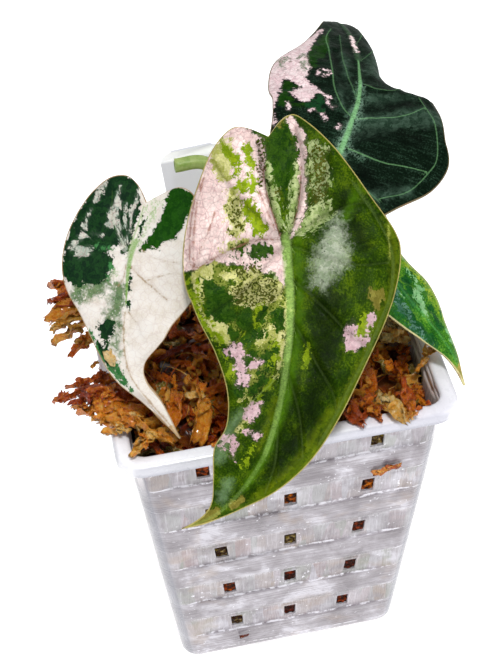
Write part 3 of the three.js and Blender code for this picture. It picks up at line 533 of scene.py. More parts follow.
# Veins of each leaf: the line in the flat blade, its half width at both ends, how far it stands out of
# the face (or is sunk in it), and how strong its colour is
VEINS = {
    "front": [
        ([(0, 1), (8, 1.2), (20, 1.2), (34, 1)], 1.15, 0.75, 0.55, 0.8),
        ([(34, 1), (48, 0.2), (60, -0.7)], 0.7, 0.45, 0.5, 0.45),
        ([(60, -0.7), (76, -0.5), (90, 0)], 0.45, 0.25, 0.45, 0.22),
        ([(0, 0), (-10, -2.2), (-20, -2.8), (-30, -0.5)], 0.7, 0.35, -1.1, 0),
        ([(0, 2.5), (-8, 5), (-16, 7.4), (-25, 10)], 0.7, 0.35, -1.1, 0),
        ([(-3, 0.2), (-9, -0.6), (-20, -0.4)], 1.3, 1, 0.75, 0),
        ([(-4, 2.6), (-9, 4), (-19, 5.4)], 1.3, 1, 0.75, 0),
        ([(-2, -2.6), (-10, -5.6), (-20, -7)], 1.7, 1.6, 0.8, 0),
        ([(-8, 8), (-16, 12), (-24, 15)], 1.8, 1.5, 0.7, 0),
        ([(0, 3), (0.5, 9), (2, 15), (4.5, 21), (5.5, 27)], 0.5, 0.25, -0.8, 0),
        ([(0, 3), (-5, 8), (-12, 16), (-20, 22)], 0.5, 0.3, -0.8, 0),
        ([(-3, 10), (-4, 16), (-5, 22)], 1.8, 1.6, 0.5, 0),
        ([(2, 2), (8, 8), (15, 15), (21, 22)], 0.55, 0.3, -0.8, 0),
        ([(7, 4), (9, 14), (14, 22)], 1.8, 1.8, 0.5, 0),
        ([(13, 2), (19, 7), (27, 13), (33, 18)], 0.5, 0.3, -0.7, 0),
        ([(18, 4), (24, 8), (32, 12)], 1.8, 1.6, 0.4, 0),
        ([(26, 1.8), (34, 2), (40, 3.6), (44, 6), (49, 8.4), (57, 9.5), (64, 11)], 0.35, 0.2, -0.6, 0.3),
        ([(44, 0.5), (54, 4), (64, 7.5)], 0.4, 0.25, -0.4, 0),
        ([(-29, 20), (-20, 25), (-8, 26.6), (4, 27.6), (14, 26.8), (24, 23.5), (36, 17.5)], 0.4, 0.35, -0.5, 0),
        ([(0, -0.5), (-5, -7), (-9, -14), (-11, -20)], 0.5, 0.3, -0.9, 0.05),
        ([(0, -0.5), (-8, -4.5), (-17, -9), (-24, -10)], 0.5, 0.3, -0.8, 0),
        ([(2, -0.5), (6, -9), (9, -18), (9, -26)], 0.5, 0.3, -0.7, 0.07),
        ([(12, -0.5), (19, -8), (25, -15), (28, -20)], 0.45, 0.3, -0.7, 0.07),
        ([(24, -0.5), (33, -7), (40, -13), (44, -15)], 0.45, 0.3, -0.7, 0.07),
        ([(38, -0.5), (48, -6), (56, -10)], 0.4, 0.3, -0.6, 0.07),
        ([(52, -1), (60, -4), (68, -6)], 0.4, 0.25, -0.4, 0.1),
        ([(-16, -17), (-6, -24), (4, -27.6), (14, -27), (24, -22.6), (38, -17),
            (52, -13)], 0.5, 0.4, -0.8, 0.2),
    ],
    "left": [
        ([(-4, -0.6), (0, -0.3), (5, -0.1), (9, -0.1), (14, -0.2)], 0.7, 0.12, 0.3, 0.9),
        ([(14, -0.2), (36, -0.4), (55, -0.2)], 0.4, 0.25, 0.3, 0),
        ([(0, -1), (4, -2.2), (7, -5), (10, -9), (13, -12)], 0.24, 0.14, -0.2, 0),
        ([(-1, -1), (-8, -3), (-14, -6), (-18, -9)], 0.35, 0.2, -0.2, 0),
        ([(0, -1), (0, -7), (-3, -14)], 0.2, 0.12, -0.15, 0),
        ([(16, -1), (21, -4.5), (27, -7)], 0.2, 0.12, -0.12, 0),
        ([(-1, 1), (-5, 5), (-9, 8), (-16, 10)], 0.35, 0.2, -0.25, 0.1),
        ([(0, 0.6), (-6, 0.3), (-14, 0.2)], 0.3, 0.15, 0.15, 0.6),
        ([(1, 1), (8, 2.2), (14, 5), (19, 8)], 0.25, 0.15, -0.2, 0),
        ([(0, 1), (1, 8), (-1, 14)], 0.3, 0.2, -0.25, 0),
    ],
    "back": [
        ([(-2, 0), (8, 0), (20, -0.2), (30, -0.3)], 0.66, 0.34, 0.55, 0.75),
        ([(30, -0.3), (40, -0.6), (46, -0.6)], 0.42, 0.15, 0.4, 0.6),
        ([(46, -0.6), (60, -1), (85, -1.6), (106, 0)], 0.8, 0.3, 0.5, 0.1),
        ([(0, 2), (-1.5, 9), (-1.6, 15), (-0.6, 21), (0, 26)], 0.22, 0.11, 0.3, 0.42),
        ([(12, 1), (14.6, 8), (17.5, 14.5), (22, 19.6)], 0.18, 0.1, 0.3, 0.4),
        ([(29.5, 1.5), (27.6, 5), (28.5, 10), (33, 13), (36, 13.4)], 0.2, 0.12, 0.3, 0.3),
        ([(-14.5, 16), (-9, 22.5), (0, 26), (4, 27), (9, 26.2), (17, 23.6), (22, 20),
            (27, 17.6)], 0.14, 0.13, 0.25, 0.32),
        ([(-2, -1), (-10, 8), (-15, 16)], 0.22, 0.14, 0.25, 0.25),
        ([(13, -1), (16, -4.4), (24, -7.6), (36, -9), (50, -9.6), (62, -9.8), (72, -7)], 0.18, 0.14, 0.3, 0.35),
        ([(-1, -2), (-3, -10), (-3, -18)], 0.45, 0.3, 0.2, 0.1),
        ([(22, -1), (34, -4), (48, -5.5), (66, -5)], 0.16, 0.12, 0.2, 0.22),
        ([(46, 0), (54, 4), (64, 7)], 0.14, 0.12, 0.2, 0.25),
        ([(60, 0), (70, 3), (80, 4)], 0.14, 0.12, 0.15, 0.25),
        ([(6, 3), (9, 11), (9, 20)], 2, 2, -0.9, 0), ([(18, 3), (22, 10), (24, 14)], 2, 1.6, -0.7, 0),
        ([(-6, 8), (-10, 14), (-8, 19)], 1.8, 1.6, -0.6, 0),
        ([(20, -3), (36, -6.5), (52, -7.5)], 1.2, 1, -0.6, 0),
    ],
    "right": [
        ([(0, 0), (10, 0), (25, 0.4), (40, 0.2), (55, 1)], 0.4, 0.2, 0.25, 0.4),
        ([(4, -0.5), (12, -4), (20, -8)], 0.35, 0.2, -0.25, 0.15),
        ([(16, -0.5), (24, -4), (31, -8.5)], 0.35, 0.2, -0.25, 0.15),
        ([(26, -0.5), (34, -3.5), (40, -5)], 0.3, 0.2, -0.2, 0.15),
        ([(16, 0.8), (24, 3), (33, 5.5)], 0.35, 0.2, -0.25, 0.15),
        ([(26, 0.8), (34, 2.6), (41, 3.4)], 0.3, 0.2, -0.2, 0.15),
    ],
}


def beside_piece(start, end, u, v):
    """Distance of each place in the flat blade from a straight piece, and the share of it that is nearest"""
    along, across = end[0] - start[0], end[1] - start[1]
    share = ((u - start[0]) * along + (v - start[1]) * across) / max(along * along + across * across, 1e-9)
    share = np.clip(share, 0, 1)
    return np.hypot(u - start[0] - share * along, v - start[1] - share * across), share


def beside_line(points, u, v):
    """Distance of each place in the flat blade from a drawn line, signed by its side, and the share of
    the line's length where it is nearest"""
    drawn = np.asarray(points, float)
    if len(points) > 2:
        drawn = smooth_path(points, np.linspace(0, 1, 4 * len(points)), False)
    near, side, reach = np.full(len(u), 1e3), np.ones(len(u)), np.zeros(len(u))
    pieces = len(drawn) - 1
    for k in range(pieces):
        start, end = drawn[k], drawn[k + 1]
        away, share = beside_piece(start, end, u, v)
        closer = away < near
        left = (end[0] - start[0]) * (v - start[1]) > (end[1] - start[1]) * (u - start[0])
        near = np.where(closer, away, near)
        side = np.where(closer, np.where(left, 1, -1), side)
        reach = np.where(closer, (k + share) / pieces, reach)
    return near * side, reach


def from_outline(points, u, v):
    """How far each place in the flat blade lies inside a closed outline, in millimetres"""
    near = np.full(len(u), 1e3)
    inside = np.zeros(len(u), bool)
    for start, end in zip(points, points[1:] + points[:1]):
        near = np.minimum(near, beside_piece(start, end, u, v)[0])
        rise = end[1] - start[1]
        crosses = (start[1] > v) != (end[1] > v)
        cut = start[0] + (v - start[1]) * (end[0] - start[0]) / (rise if abs(rise) > 1e-9 else 1e-9)
        inside ^= crosses & (u < cut)
    return np.where(inside, near, -near)


def depth_in(shapes, u, v):
    """Depth in a group of painted shapes: a line is (points, half width, end half width), an outline
    (points,)"""
    best = np.full(len(u), -1e3)
    for points, *widths in shapes:
        if widths:
            side, reach = beside_line(points, u, v)
            depth = lerp(*widths, reach) - np.abs(side)
        else:
            depth = from_outline(points, u, v)
        best = np.maximum(best, depth)
    return best


def vein_fields(veins, u, v):
    """Strength of the veins' colour, the way across the nearest vein as a share of its half width, and
    the relief of all veins, at each place in the flat blade"""
    colour, across, nearest = np.zeros(len(u)), np.full(len(u), 9.0), np.full(len(u), -1e3)
    raised, sunk = np.zeros(len(u)), np.zeros(len(u))
    for points, start, end, rise, strength in veins:
        side, reach = beside_line(points, u, v)
        half = lerp(start, end, reach)
        depth = half - np.abs(side)
        if strength:
            closer = depth > nearest
            nearest = np.where(closer, depth, nearest)
            across = np.where(closer, np.clip(side / half, -9, 9), across)
            colour = np.where(closer, strength * fade(depth, -1.2, -0.7), colour)
        form = rise * fade(depth, -1.1 * max(1, start), max(start, end) * 0.8)
        raised, sunk = np.maximum(raised, form), np.minimum(sunk, form)
    return colour, across, raised + sunk


class Blade:
    """A leaf's middle surface, which turns places in the flat blade into places on the plant"""

    def __init__(self, leaf):
        self.leaf = leaf
        self.path = Path([above_rim(p) for p in leaf["midrib"]])
        self.behind = self.path.lengths[round(PATH_STEPS / (len(leaf["midrib"]) - 1))]
        self.faces = np.array(leaf["faces"], float)

    def roll(self, u, v):
        roll = self.leaf.get("roll")
        if not roll:
            return v, np.zeros(len(v))
        past = np.maximum(v - roll["start"], 0)
        turn = np.maximum(roll["turn"] * fade(u, roll["begin"], roll["end"]), 1e-3)
        bent = np.minimum(past, roll["reach"])
        angle = turn * bent / roll["reach"]
        radius = roll["reach"] / turn
        straight = past - bent
        across = np.minimum(v, roll["start"]) + radius * np.sin(angle) + straight * np.cos(angle)
        return across, radius * (1 - np.cos(angle)) + straight * np.sin(angle)

    def place(self, u, v, lift):
        u, v = np.asarray(u, float), np.asarray(v, float)
        reach = np.clip((u + self.behind) / self.path.length, 0, 1)
        centre, forward = self.path.read(reach)
        centre = centre + forward * (u + self.behind - reach * self.path.length)[:, None]
        step = reach * (len(self.faces) - 1)
        low = np.minimum(step.astype(int), len(self.faces) - 2)
        normal = lerp(self.faces[low], self.faces[low + 1], (step - low)[:, None])
        normal = unit(normal - forward * np.sum(normal * forward, axis=1)[:, None])
        side = np.cross(forward, normal)
        across, drop = self.roll(u, v)
        height = lift + self.leaf["keel"] * (np.hypot(v, 1) - 1) - self.leaf["droop"] * v * v
        return centre + side * across[:, None] + normal * (height - drop)[:, None]

    def flat(self, t, s):
        """Place in the flat blade at a share from base to tip and from the right edge to the left, and
        its distance from that edge"""
        spine, right, left = (smooth_path([row[k] for row in self.leaf["rows"]], t, False) for k in range(3))
        out = np.abs(2 * s - 1)
        edge = np.where((s < 0.5)[:, None], right, left)
        return lerp(spine, edge, out[:, None]), np.linalg.norm(edge - spine, axis=1) * (1 - out)


def blade_mesh(leaf, veins):
    """The leaf's sheet with its waves, veins and swellings, and its flat coordinates kept on it"""
    blade = Blade(leaf)
    height, count, start = leaf["wave"]
    kept = {}

    def shape(t, s):
        flat, margin = blade.flat(t, s)
        u, v = flat[:, 0], flat[:, 1]
        ends = np.minimum(1, np.minimum(6 * t, 6 * (1 - t)))
        turn = 2 * np.pi * (count * t + start + np.where(s < 0.5, 0, 0.37))
        wave = height * ends * np.abs(2 * s - 1) ** 2 * np.sin(turn)
        colour, aside, relief = vein_fields(veins, u, v)
        spots = np.column_stack([u, v, 0 * u])
        swell = 0.4 * wobble(spots, 7.0, 3.1) + 0.16 * wobble(spots, 2.6, 9.4)
        curl = -0.7 * (1 - fade(margin, 0.0, 2.2)) * ends
        kept.update(along=u, across=v, margin=margin, vein=colour, aside=aside, form=relief + 0.5 * swell)
        return blade.place(u, v, wave + (relief + swell) * fade(margin, 0.2, 3.0) * ends + curl)

    mesh = bmesh.new()
    names = ["along", "across", "margin", "vein", "aside", "form"]
    layers = [mesh.verts.layers.float.new(name) for name in names]
    verts = shaped_grid(mesh, *leaf["grid"], shape, close=False)
    for vert, values in zip(verts, np.column_stack([kept[name] for name in names])):
        for layer, value in zip(layers, values):
            vert[layer] = value
    bmesh.ops.remove_doubles(mesh, verts=mesh.verts[:], dist=1e-4)
    bmesh.ops.dissolve_degenerate(mesh, edges=mesh.edges[:], dist=1e-5)
    return mesh


def read_values(data, name):
    values = np.zeros(len(data.vertices), np.float32)
    data.attributes[name].data.foreach_get("value", values)
    return values.astype(float)


def leaf_piece(name, leaf):
    data = as_data("blade_" + name, blade_mesh(leaf, VEINS[name]))
    u, v = read_values(data, "along"), read_values(data, "across")
    mark(data, "flat", np.column_stack([u, v, 0 * u]), "FLOAT_VECTOR")
    turn = np.arctan2(v, u + TINY)
    mark(data, "ray", np.column_stack([np.hypot(u, v) * 0.3, turn * 9.0, 0 * u]), "FLOAT_VECTOR")
    for layer in PAINT[name]:
        mark(data, layer["name"], np.clip(depth_in(layer["shapes"], u, v), -4, 4))
    skins = [blade_skin(name), underside_skin(name), margin_skin(name)]
    piece = finish_piece("blade_" + name, data, skins, ["leaf_" + name])
    wall = piece.modifiers.new("thickness", "SOLIDIFY")
    wall.thickness = BLADE_THICK * MM
    wall.offset = 0
    wall.material_offset = 1
    wall.material_offset_rim = 2


# Paint


def coat(name, colour, mottle, shapes, ragged=0.6, cover=1.0, soft=0.16, strength=1.0, streak=False):
    """One painted layer: its colours, its shapes in the flat blade, how torn its edge is, how much of it
    its specks cover, how soft and strong it is, and if it is torn along the rays from the stalk"""
    return dict(
        name=name, colour=tone(*colour), mottle=tone(*mottle), shapes=shapes, ragged=ragged,
        cover=cover, soft=soft, strength=strength, streak=streak,
    )


# Paint of each leaf in the order that its layers lie on each other. A shape is a brushed line with its
# half width at both ends, or a closed outline.
PAINT = {
    "front": [
        coat("band", (104, 120, 12), (78, 98, 8), [
            ([(-22, -20), (-14, -24.6), (-6, -27.2), (4, -28.4), (14, -27.4), (22, -23), (40, -16.5), (60, -11),
                (74, -5)], 0.9, 1.5),
            ([(44, -13), (60, -8.6), (70, -5.4)], 0.8, 1.4),
            ([(45, 1.8), (60, 1.4)], 0.8, 0.6),
        ], ragged=0.5, soft=1.3, strength=0.8),
        # Painted shade: deeper green laid over parts of the dark half
        coat("deep", (7, 19, 1), (18, 34, 2), [
            ([(18, -9), (34, -9), (50, -7), (62, -4.6)], 4.5, 2.2), ([(38, -2.6), (56, -2.6)], 1.6, 1.2),
            ([(24, 1), (44, 9)], 2, 3),
            ([(-12, -14), (2, -20)], 2, 2.4),
        ], ragged=0.9, soft=2.6, strength=0.85),
        # Painted light: lighter green along the midrib, where light shines through the blade
        coat("glow", (72, 112, 10), (56, 90, 6), [
            ([(0, -2.2), (20, -1.4), (34, -1.2)], 0.9, 0.9), ([(34, -1.2), (45, -1), (70, -0.8)], 1.2, 0.7),
            ([(-14, -18), (-6, -15)], 1, 1),
        ], ragged=0.3, soft=1.3, strength=0.85),
        # Painted highlight: a bright line just inside the margin where the edge rolls down
        coat("margin_highlight", (176, 184, 92), (150, 160, 60), [
            ([(-5, -26.9), (1, -27.2), (8, -26.9)], 0.2, 0.2),
        ], ragged=0.1, soft=0.2, strength=0.9),
        coat("sage", (166, 176, 126), (112, 134, 70), [
            ([(-26, -8.5), (-26.6, -5), (-22, -3.6), (-16, -5), (-12, -6), (-10, -9), (-16, -10), (-22, -9)],),
            ([(-11, -10.5), (-9.4, -6.6), (-2, -1.2), (-0.4, -3), (-3, -8), (-5, -11), (-8, -12)],),
            ([(-20, -1.3), (-9, -1), (-3, 0)], 1.1, 1.2),
            ([(-19, 6.4), (-9, 4.4), (-4, 2.4)], 1.1, 0.8),
            ([(5, 4), (10, 4.4)], 1.3, 1.6),
        ], ragged=0.7, cover=0.84, streak=True),
        coat("sheen", (116, 142, 104), (92, 122, 78), [
            ([(52, 9.4), (60, 10.6), (68, 9.6)], 1.5, 1.2), ([(72, 3.6), (77, 2)], 1.3, 1),
        ], ragged=0.4, soft=1.7, strength=0.75),
        coat("moor", (136, 142, 62), (100, 118, 34), [
            ([(16, 5), (28, 6.4), (42, 8.6)], 4.6, 2.6), ([(8, 21), (20, 20), (33, 14)], 3.2, 2),
        ], ragged=0.9, cover=0.72, soft=1.2, strength=0.8),
        # Painted highlight: a soft whitish sheen with fine specks beside the midrib
        coat("silver_sheen", (212, 218, 198), (160, 176, 146), [
            ([(-6, -13.4), (-3, -11), (1, -9), (5, -7), (8.6, -6), (13, -5.6), (14, -7.6), (11, -11), (9, -15),
                (5, -15.8), (-1, -14.8)],),
            ([(0, -13), (7, -11.5)], 1.8, 2.2),
        ], ragged=0.7, cover=0.97, soft=2.4, strength=0.62),
        coat("cream", (232, 212, 206), (216, 188, 184), [
            ([(-34, 2.6), (-31, 0.8), (-27.6, -1.8)], 0.9, 1.7),
            ([(-27.6, -1.8), (-22, -2.2), (-15, -3.2), (-8, -3.2), (-3, -1.6), (0, 0)], 1.5, 0.5),
            ([(-27, 8.6), (-29, 12), (-30.6, 15), (-29, 18.6), (-25, 22), (-20, 24), (-10, 27), (-2, 29),
                (6, 29.6), (6.6, 26), (5, 20), (6, 15), (7, 10), (9, 4.6), (14, 3.6), (13, 2.4), (3, 1.8),
                (-2, 3), (-8, 5.6), (-16, 7.4), (-22, 7.6)],),
            ([(7, 3.2), (8, 12)], 1.9, 1.4),
        ], ragged=0.34),
        coat("oat", (204, 200, 140), (150, 154, 70), [
            ([(-12.4, 17.6), (-13, 15), (-8, 12.8), (-3, 12), (0, 13.6), (-1.6, 16.6), (-7, 18)],),
            ([(-26, 16.6), (-27, 20), (-22, 22.6), (-17, 21.6), (-14, 18.6), (-16, 16.8), (-21, 16)],),
            ([(5, 20.6), (5.2, 24), (8, 28), (16, 27.4), (24, 25.2), (31, 21), (32, 17), (28, 15.6), (24, 18),
                (20, 24.6), (12, 24.8), (9.4, 22)],),
            ([(1, 12), (2.4, 18)], 1, 0.8),
            ([(7.4, 14), (8.4, 20), (10.4, 18.8), (12, 12), (9.4, 8), (7.6, 10)],),
            ([(11, 4.6), (10.4, 12), (12, 17), (15, 19), (18, 17), (20.6, 12), (19, 7), (17.4, 3.4), (13, 3)],),
            ([(18, 2.4), (27, 2.4), (36, 2.8)], 0.7, 1.1), ([(27, 3.6), (33, 4.6)], 1.6, 1.2),
            ([(24, 5), (29, 9)], 1.5, 1.7), ([(22, 8), (24, 11)], 0.8, 0.7),
            ([(36, 2), (40, 4), (44, 6.2), (48, 8.4)], 0.35, 0.3), ([(38, 7), (40, 9)], 0.6, 0.5),
            ([(44, 9.6), (48, 11.2)], 0.3, 0.3), ([(53, 7.4), (57, 8.6)], 0.3, 0.5),
        ], ragged=0.62),
        coat("crumb", (76, 76, 22), (46, 58, 12), [
            ([(11.6, 5.4), (11, 12), (12.6, 16.4), (15, 18), (18, 16), (20, 12), (18.6, 7), (16, 4.4)],),
            ([(-27, 9), (-14, 8.6)], 0.8, 0.9), ([(-16, 2.4), (-12, 3.4)], 1.2, 0.9),
            ([(-24, -7), (-12, -7.4)], 1.9, 2.4), ([(-8, 15), (-3, 14.6)], 1.8, 1.6),
            ([(7, 9), (9, 14)], 1.2, 1.4),
        ], ragged=0.8, cover=0.46),
        coat("lime", (140, 160, 26), (100, 124, 14), [
            ([(-27.4, 21), (-24, 18.6), (-20, 16.4), (-14, 14)], 0.8, 0.8),
            ([(-24, 12.6), (-18, 11.4), (-12, 10.4)], 1.1, 0.9),
            ([(-22, 16), (-17, 15)], 1, 0.8), ([(-15.5, 11), (-16, 13.5), (-13.5, 15), (-11.6, 13.4),
                (-12, 11)],),
            ([(-10, 11.4), (-10, 13.4), (-7, 13), (-5, 12.2), (-1, 9.8), (-0.4, 7.4), (-3, 6.2), (-5, 7.8),
                (-7, 8.4), (-9, 9.8)],),
            ([(8, 28.6), (14, 28), (21, 26), (30, 21), (38, 15.6), (46, 12.4)], 0.6, 0.5),
            ([(10, 25.8), (18, 25.6), (25, 21.6)], 0.5, 0.7), ([(27, 21.5), (33, 17.4)], 0.4, 0.5),
            ([(20, 9), (30, 13)], 1.9, 1.6), ([(30, 4.8), (36, 5)], 1.2, 1.6), ([(36, 11), (41, 16)], 0.9, 0.6),
            ([(29, -4.6), (34, -4)], 0.7, 0.8), ([(22, -19.5), (28, -15.8)], 2, 1.2),
            ([(40, 4), (50, 8.5)], 0.7, 0.5), ([(60, 3), (66, 3)], 0.7, 0.5),
        ], ragged=0.6, cover=0.95),
        coat("dark", (22, 52, 6), (48, 80, 12), [
            ([(-31.4, 2), (-31.5, 4.4), (-29, 6), (-26.6, 7), (-22, 6.9), (-17, 5.4), (-13, 3.4), (-11, 1.6),
                (-15, 0.4), (-20, -0.6), (-23, -1.6), (-25.6, -0.4), (-29, 0.6)],),
            ([(-28, 8), (-28.6, 11)], 0.5, 0.4),
            ([(2.4, 5), (1, 7), (1, 9.5), (3, 11.6), (5.8, 10.6), (6.2, 9), (5, 6)],),
            ([(1.2, 11.6), (3.6, 11.6)], 0.3, 0.3), ([(1, 13), (4, 13.4)], 0.25, 0.3),
            ([(1.4, 14.6), (4.2, 15)], 0.25, 0.25), ([(2, 16.2), (4, 16.6)], 0.25, 0.2),
            ([(8.8, 24.6), (12, 24.4), (16, 23.6), (21, 24.4), (24, 22), (25.4, 18), (22, 15.4), (19, 17),
                (16, 16.4), (13, 18.4), (10.6, 21)],),
            ([(19.6, 3.2), (20, 6.6), (24, 6.5), (26, 4.4), (25, 2.6), (21, 2.6)],),
            ([(19.5, 8), (23, 9.4)], 0.9, 1.3), ([(23, 14), (27, 10.6)], 1.8, 1.6),
            ([(27, 8.4), (30, 13)], 1.2, 1.5),
            ([(20, 12.4), (24, 12.6)], 1.2, 1.4), ([(29, 15.6), (26.4, 17.4)], 1.2, 0.9),
            ([(31.6, 4.6), (34.4, 7.4)], 0.9, 1.2),
            ([(33, 10.4), (37, 11.6)], 1.3, 0.8), ([(36, 4.6), (39, 8)], 1, 0.8),
            ([(34, 17), (32, 18.4)], 0.8, 0.5),
            ([(40, 6.2), (44, 8.4)], 1, 1.2), ([(41, 13), (46, 12)], 1.2, 1.4),
        ], ragged=0.58, cover=0.97),
        coat("pink", (214, 186, 190), (188, 154, 160), [
            ([(30.6, 14), (31, 16.6), (33.4, 17.4), (35.6, 15.6), (36, 13), (33, 12)],),
            ([(34, 14), (38, 13), (41.6, 11)], 1.1, 1.4),
            ([(43.4, 12.4), (40, 12.6)], 0.8, 1.1),
            ([(47, 5.2), (47.6, 7.8), (50, 9.2), (52.6, 8.4), (53, 6.4), (50.4, 5)],),
            ([(56, 3), (56.2, 6)], 0.7, 0.7), ([(59, 10), (60, 11.4), (63.4, 11.6), (65, 11), (64.6, 10),
                (61, 9.4)],),
            ([(59.6, 9), (62, 8), (65, 6.4)], 0.7, 0.7), ([(35.6, 8.4), (37.2, 9.8)], 0.9, 0.7),
            ([(22.4, -16.6), (23.4, -14.4), (27, -13.8), (29, -15), (28.4, -18.6), (26.4, -19.4),
                (25.2, -17)],),
            ([(21.4, -21.2), (23.4, -19.9)], 0.8, 0.6), ([(26.2, -20), (27, -18.6)], 0.7, 0.6),
        ], ragged=0.5, cover=0.86),
        coat("thread", (160, 112, 96), (140, 96, 74), [
            ([(-1, 2.6), (-6, 4.6), (-12, 7), (-19, 8.2)], 0.32, 0.2),
            ([(-2, 4), (-7, 6.4), (-13, 9.2)], 0.16, 0.14),
            ([(0.4, 3), (0.2, 9), (1.6, 14), (4, 21), (6.4, 26.6)], 0.14, 0.2),
            ([(-24, 22.4), (-16, 24.6), (-6, 26.6), (5, 27.6)], 0.18, 0.16),
            ([(-19, 23), (-8, 25.4), (4, 26.4)], 0.14, 0.14), ([(-20, -2), (-10, -2.2), (-4, -1)], 0.14, 0.24),
            ([(6, 27), (0, 23), (-6, 20.6)], 0.14, 0.12),
        ], ragged=0.12, soft=0.18, strength=0.75),
        coat("tan", (134, 128, 56), (104, 98, 36), [
            ([(15.2, -24.4), (15.1, -20.6), (17, -20.4), (19.2, -22), (18, -24)],),
            ([(73, -2.4), (76, -1.4)], 0.8, 0.8),
            ([(80, 0), (92, 0)], 1.2, 2.2), ([(-34.6, 1.6), (-31, 4)], 0.7, 0.7),
            ([(-30, 20.6), (-22, 26.2), (-10, 29.6)], 0.4, 0.3),
        ], ragged=0.35),
    ],
    "left": [
        coat("fern", (160, 184, 132), (196, 204, 176), [
            ([(-16, -3), (-8, -2.2), (-3, -1.4)], 1.6, 0.6), ([(6, 3.4), (8, 6)], 0.9, 0.7),
            ([(-15, -0.6), (-6, -0.8)], 0.4, 0.3),
        ], ragged=0.8, cover=0.42),
        coat("sage", (52, 92, 44), (98, 126, 80), [
            ([(8.5, 12), (12.4, 14)], 2.4, 1.7), ([(8, 6.4), (11, 9.4)], 2.3, 2.1),
            ([(10, 2), (15, 2.4), (18.4, 4)], 2.2, 1.9),
            ([(19, 1.6), (27, 1.8)], 1.3, 0.9), ([(1, 12), (4.6, 17)], 1.8, 1.5),
            ([(9.6, 12.6), (13.6, 13)], 1.3, 1.2),
        ], ragged=0.7, cover=0.95, soft=1.6, strength=0.95),
        coat("dark", (10, 36, 20), (24, 60, 26), [
            ([(-15, 1.2), (-18, 3), (-21, 5), (-21.6, 8), (-20, 12), (-15, 15.6), (-8, 17.6), (-1, 18.8),
                (5, 18.8), (8, 17.6), (9.5, 15), (9, 11), (8.4, 6.4), (6, 5), (1.4, 4.6), (0.6, 7), (-1, 5.8),
                (-1.6, 2.2), (-0.4, 3), (0.4, 2.6), (0, 0.8), (-8, 0.9)],),
            ([(19, 2.6), (18.4, 5), (20, 7), (23, 6.6), (24, 4.4), (22, 2.4)],),
            ([(24, 4.4), (24, 8), (27, 7.6), (31, 5), (30, 3.4), (27, 4.6)],),
            ([(4, -0.6), (15.6, -0.6)], 0.3, 0.26), ([(-12, -0.9), (-3, -1.2)], 0.22, 0.3),
        ], ragged=0.46),
        coat("forest", (14, 58, 4), (30, 78, 10), [
            ([(-21.6, -13), (-21.8, -6.4), (-17, -5.6), (-12, -5.4), (-8, -4.6), (-4, -3.4), (-1.5, -2),
                (-1.2, -2.6), (-3, -5), (-3.4, -7.5), (-6, -8.2), (-7, -9.6), (-7.4, -11.4), (-12, -12.4),
                (-16, -13)],),
        ], ragged=0.42),
        coat("leafgreen", (36, 94, 44), (66, 124, 70), [
            ([(29.6, 1.4), (30, 5), (34, 3.6), (38.4, 1.4), (36, 0.9)],),
            ([(31, 4.8), (27, 6.6), (22, 9)], 0.35, 0.3), ([(3.6, 5), (7, 5.6)], 0.5, 0.3),
            ([(-1, 5), (-0.4, 10)], 0.35, 0.3),
        ], ragged=0.4, cover=0.9),
        coat("pale", (206, 202, 190), (150, 164, 150), [
            ([(-18, 8.4), (-13, 8.8), (-9.4, 9.2), (-6.4, 8.6), (-6, 6.8), (-9, 5.8), (-13, 7)],),
            ([(-8, 6), (-4, 4), (-1.4, 1.8)], 0.6, 0.35),
            ([(-17, 13), (-12, 13.8)], 0.7, 0.6), ([(-9, 14.2), (-4, 14.8)], 0.35, 0.5),
            ([(-2, 14), (0.4, 17)], 0.5, 0.7),
            ([(0.4, 11.6), (1.6, 14)], 0.8, 1), ([(-3, 9), (-3.4, 12)], 0.25, 0.3),
            ([(-18, 3), (-10, 2.6), (-3, 1.8)], 0.2, 0.16), ([(-14, 5.6), (-7, 3.6)], 0.2, 0.16),
            ([(-13, 3.4), (-5, 1.8)], 0.3, 0.14),
        ], ragged=0.44, cover=0.86, streak=True),
        coat("thread", (168, 140, 104), (150, 124, 88), [
            ([(3.4, -0.8), (7, -5), (12, -11.6)], 0.2, 0.14), ([(7.2, -5), (5.4, -9), (3.6, -14)], 0.15, 0.12),
            ([(16, -1), (19, -4)], 0.12, 0.1),
            ([(3, 0.6), (6, 0.8), (9, 2.4)], 0.2, 0.14), ([(16, -0.2), (36, -0.5), (54, -0.2)], 0.14, 0.18),
            ([(-2, -3), (0, -8), (0, -14)], 0.12, 0.1),
        ], ragged=0.1, soft=0.18, strength=0.7),
        coat("tan", (206, 180, 142), (178, 148, 108), [([(53, 0), (57, 0)], 0.8, 1.4)], ragged=0.3),
    ],
    "back": [
        # Painted sheen: soft grey-green bands of velvety sheen along the laterals
        coat("velvet_sheen", (72, 96, 80), (32, 54, 40), [
            ([(10, 4), (16, 14), (19, 22)], 4, 3), ([(22, 4), (26, 14)], 2, 1.6),
            ([(-14, 14), (-8, 22)], 2.2, 2), ([(40, 4), (60, 8)], 3, 2),
            ([(16, -5), (50, -5)], 0.8, 0.8),
        ], ragged=0.8, soft=2, strength=0.7, streak=True),
        # Painted sheen: a soft pale glow along the midrib and the first laterals
        coat("midrib_sheen", (132, 164, 142), (60, 92, 72), [
            ([(-3, 0), (14, 0.5), (30, 0)], 2.3, 0.9), ([(0, 1), (-1.4, 4), (-1.7, 7)], 1, 0.2),
            ([(11, 0.6), (12.6, 3)], 0.4, 0.1),
        ], ragged=0.8, cover=0.66, soft=1.5, strength=0.7),
        coat("forest", (12, 44, 4), (26, 62, 10), [
            ([(10.4, -22), (12, -23.4), (18, -23.6), (22, -23.4), (22.6, -20.8), (20, -20.6), (17, -21.4),
                (14.6, -19.4), (12, -18.8)],),
            ([(22.8, -23.8), (29.6, -23.8), (28.6, -21), (24, -20)],),
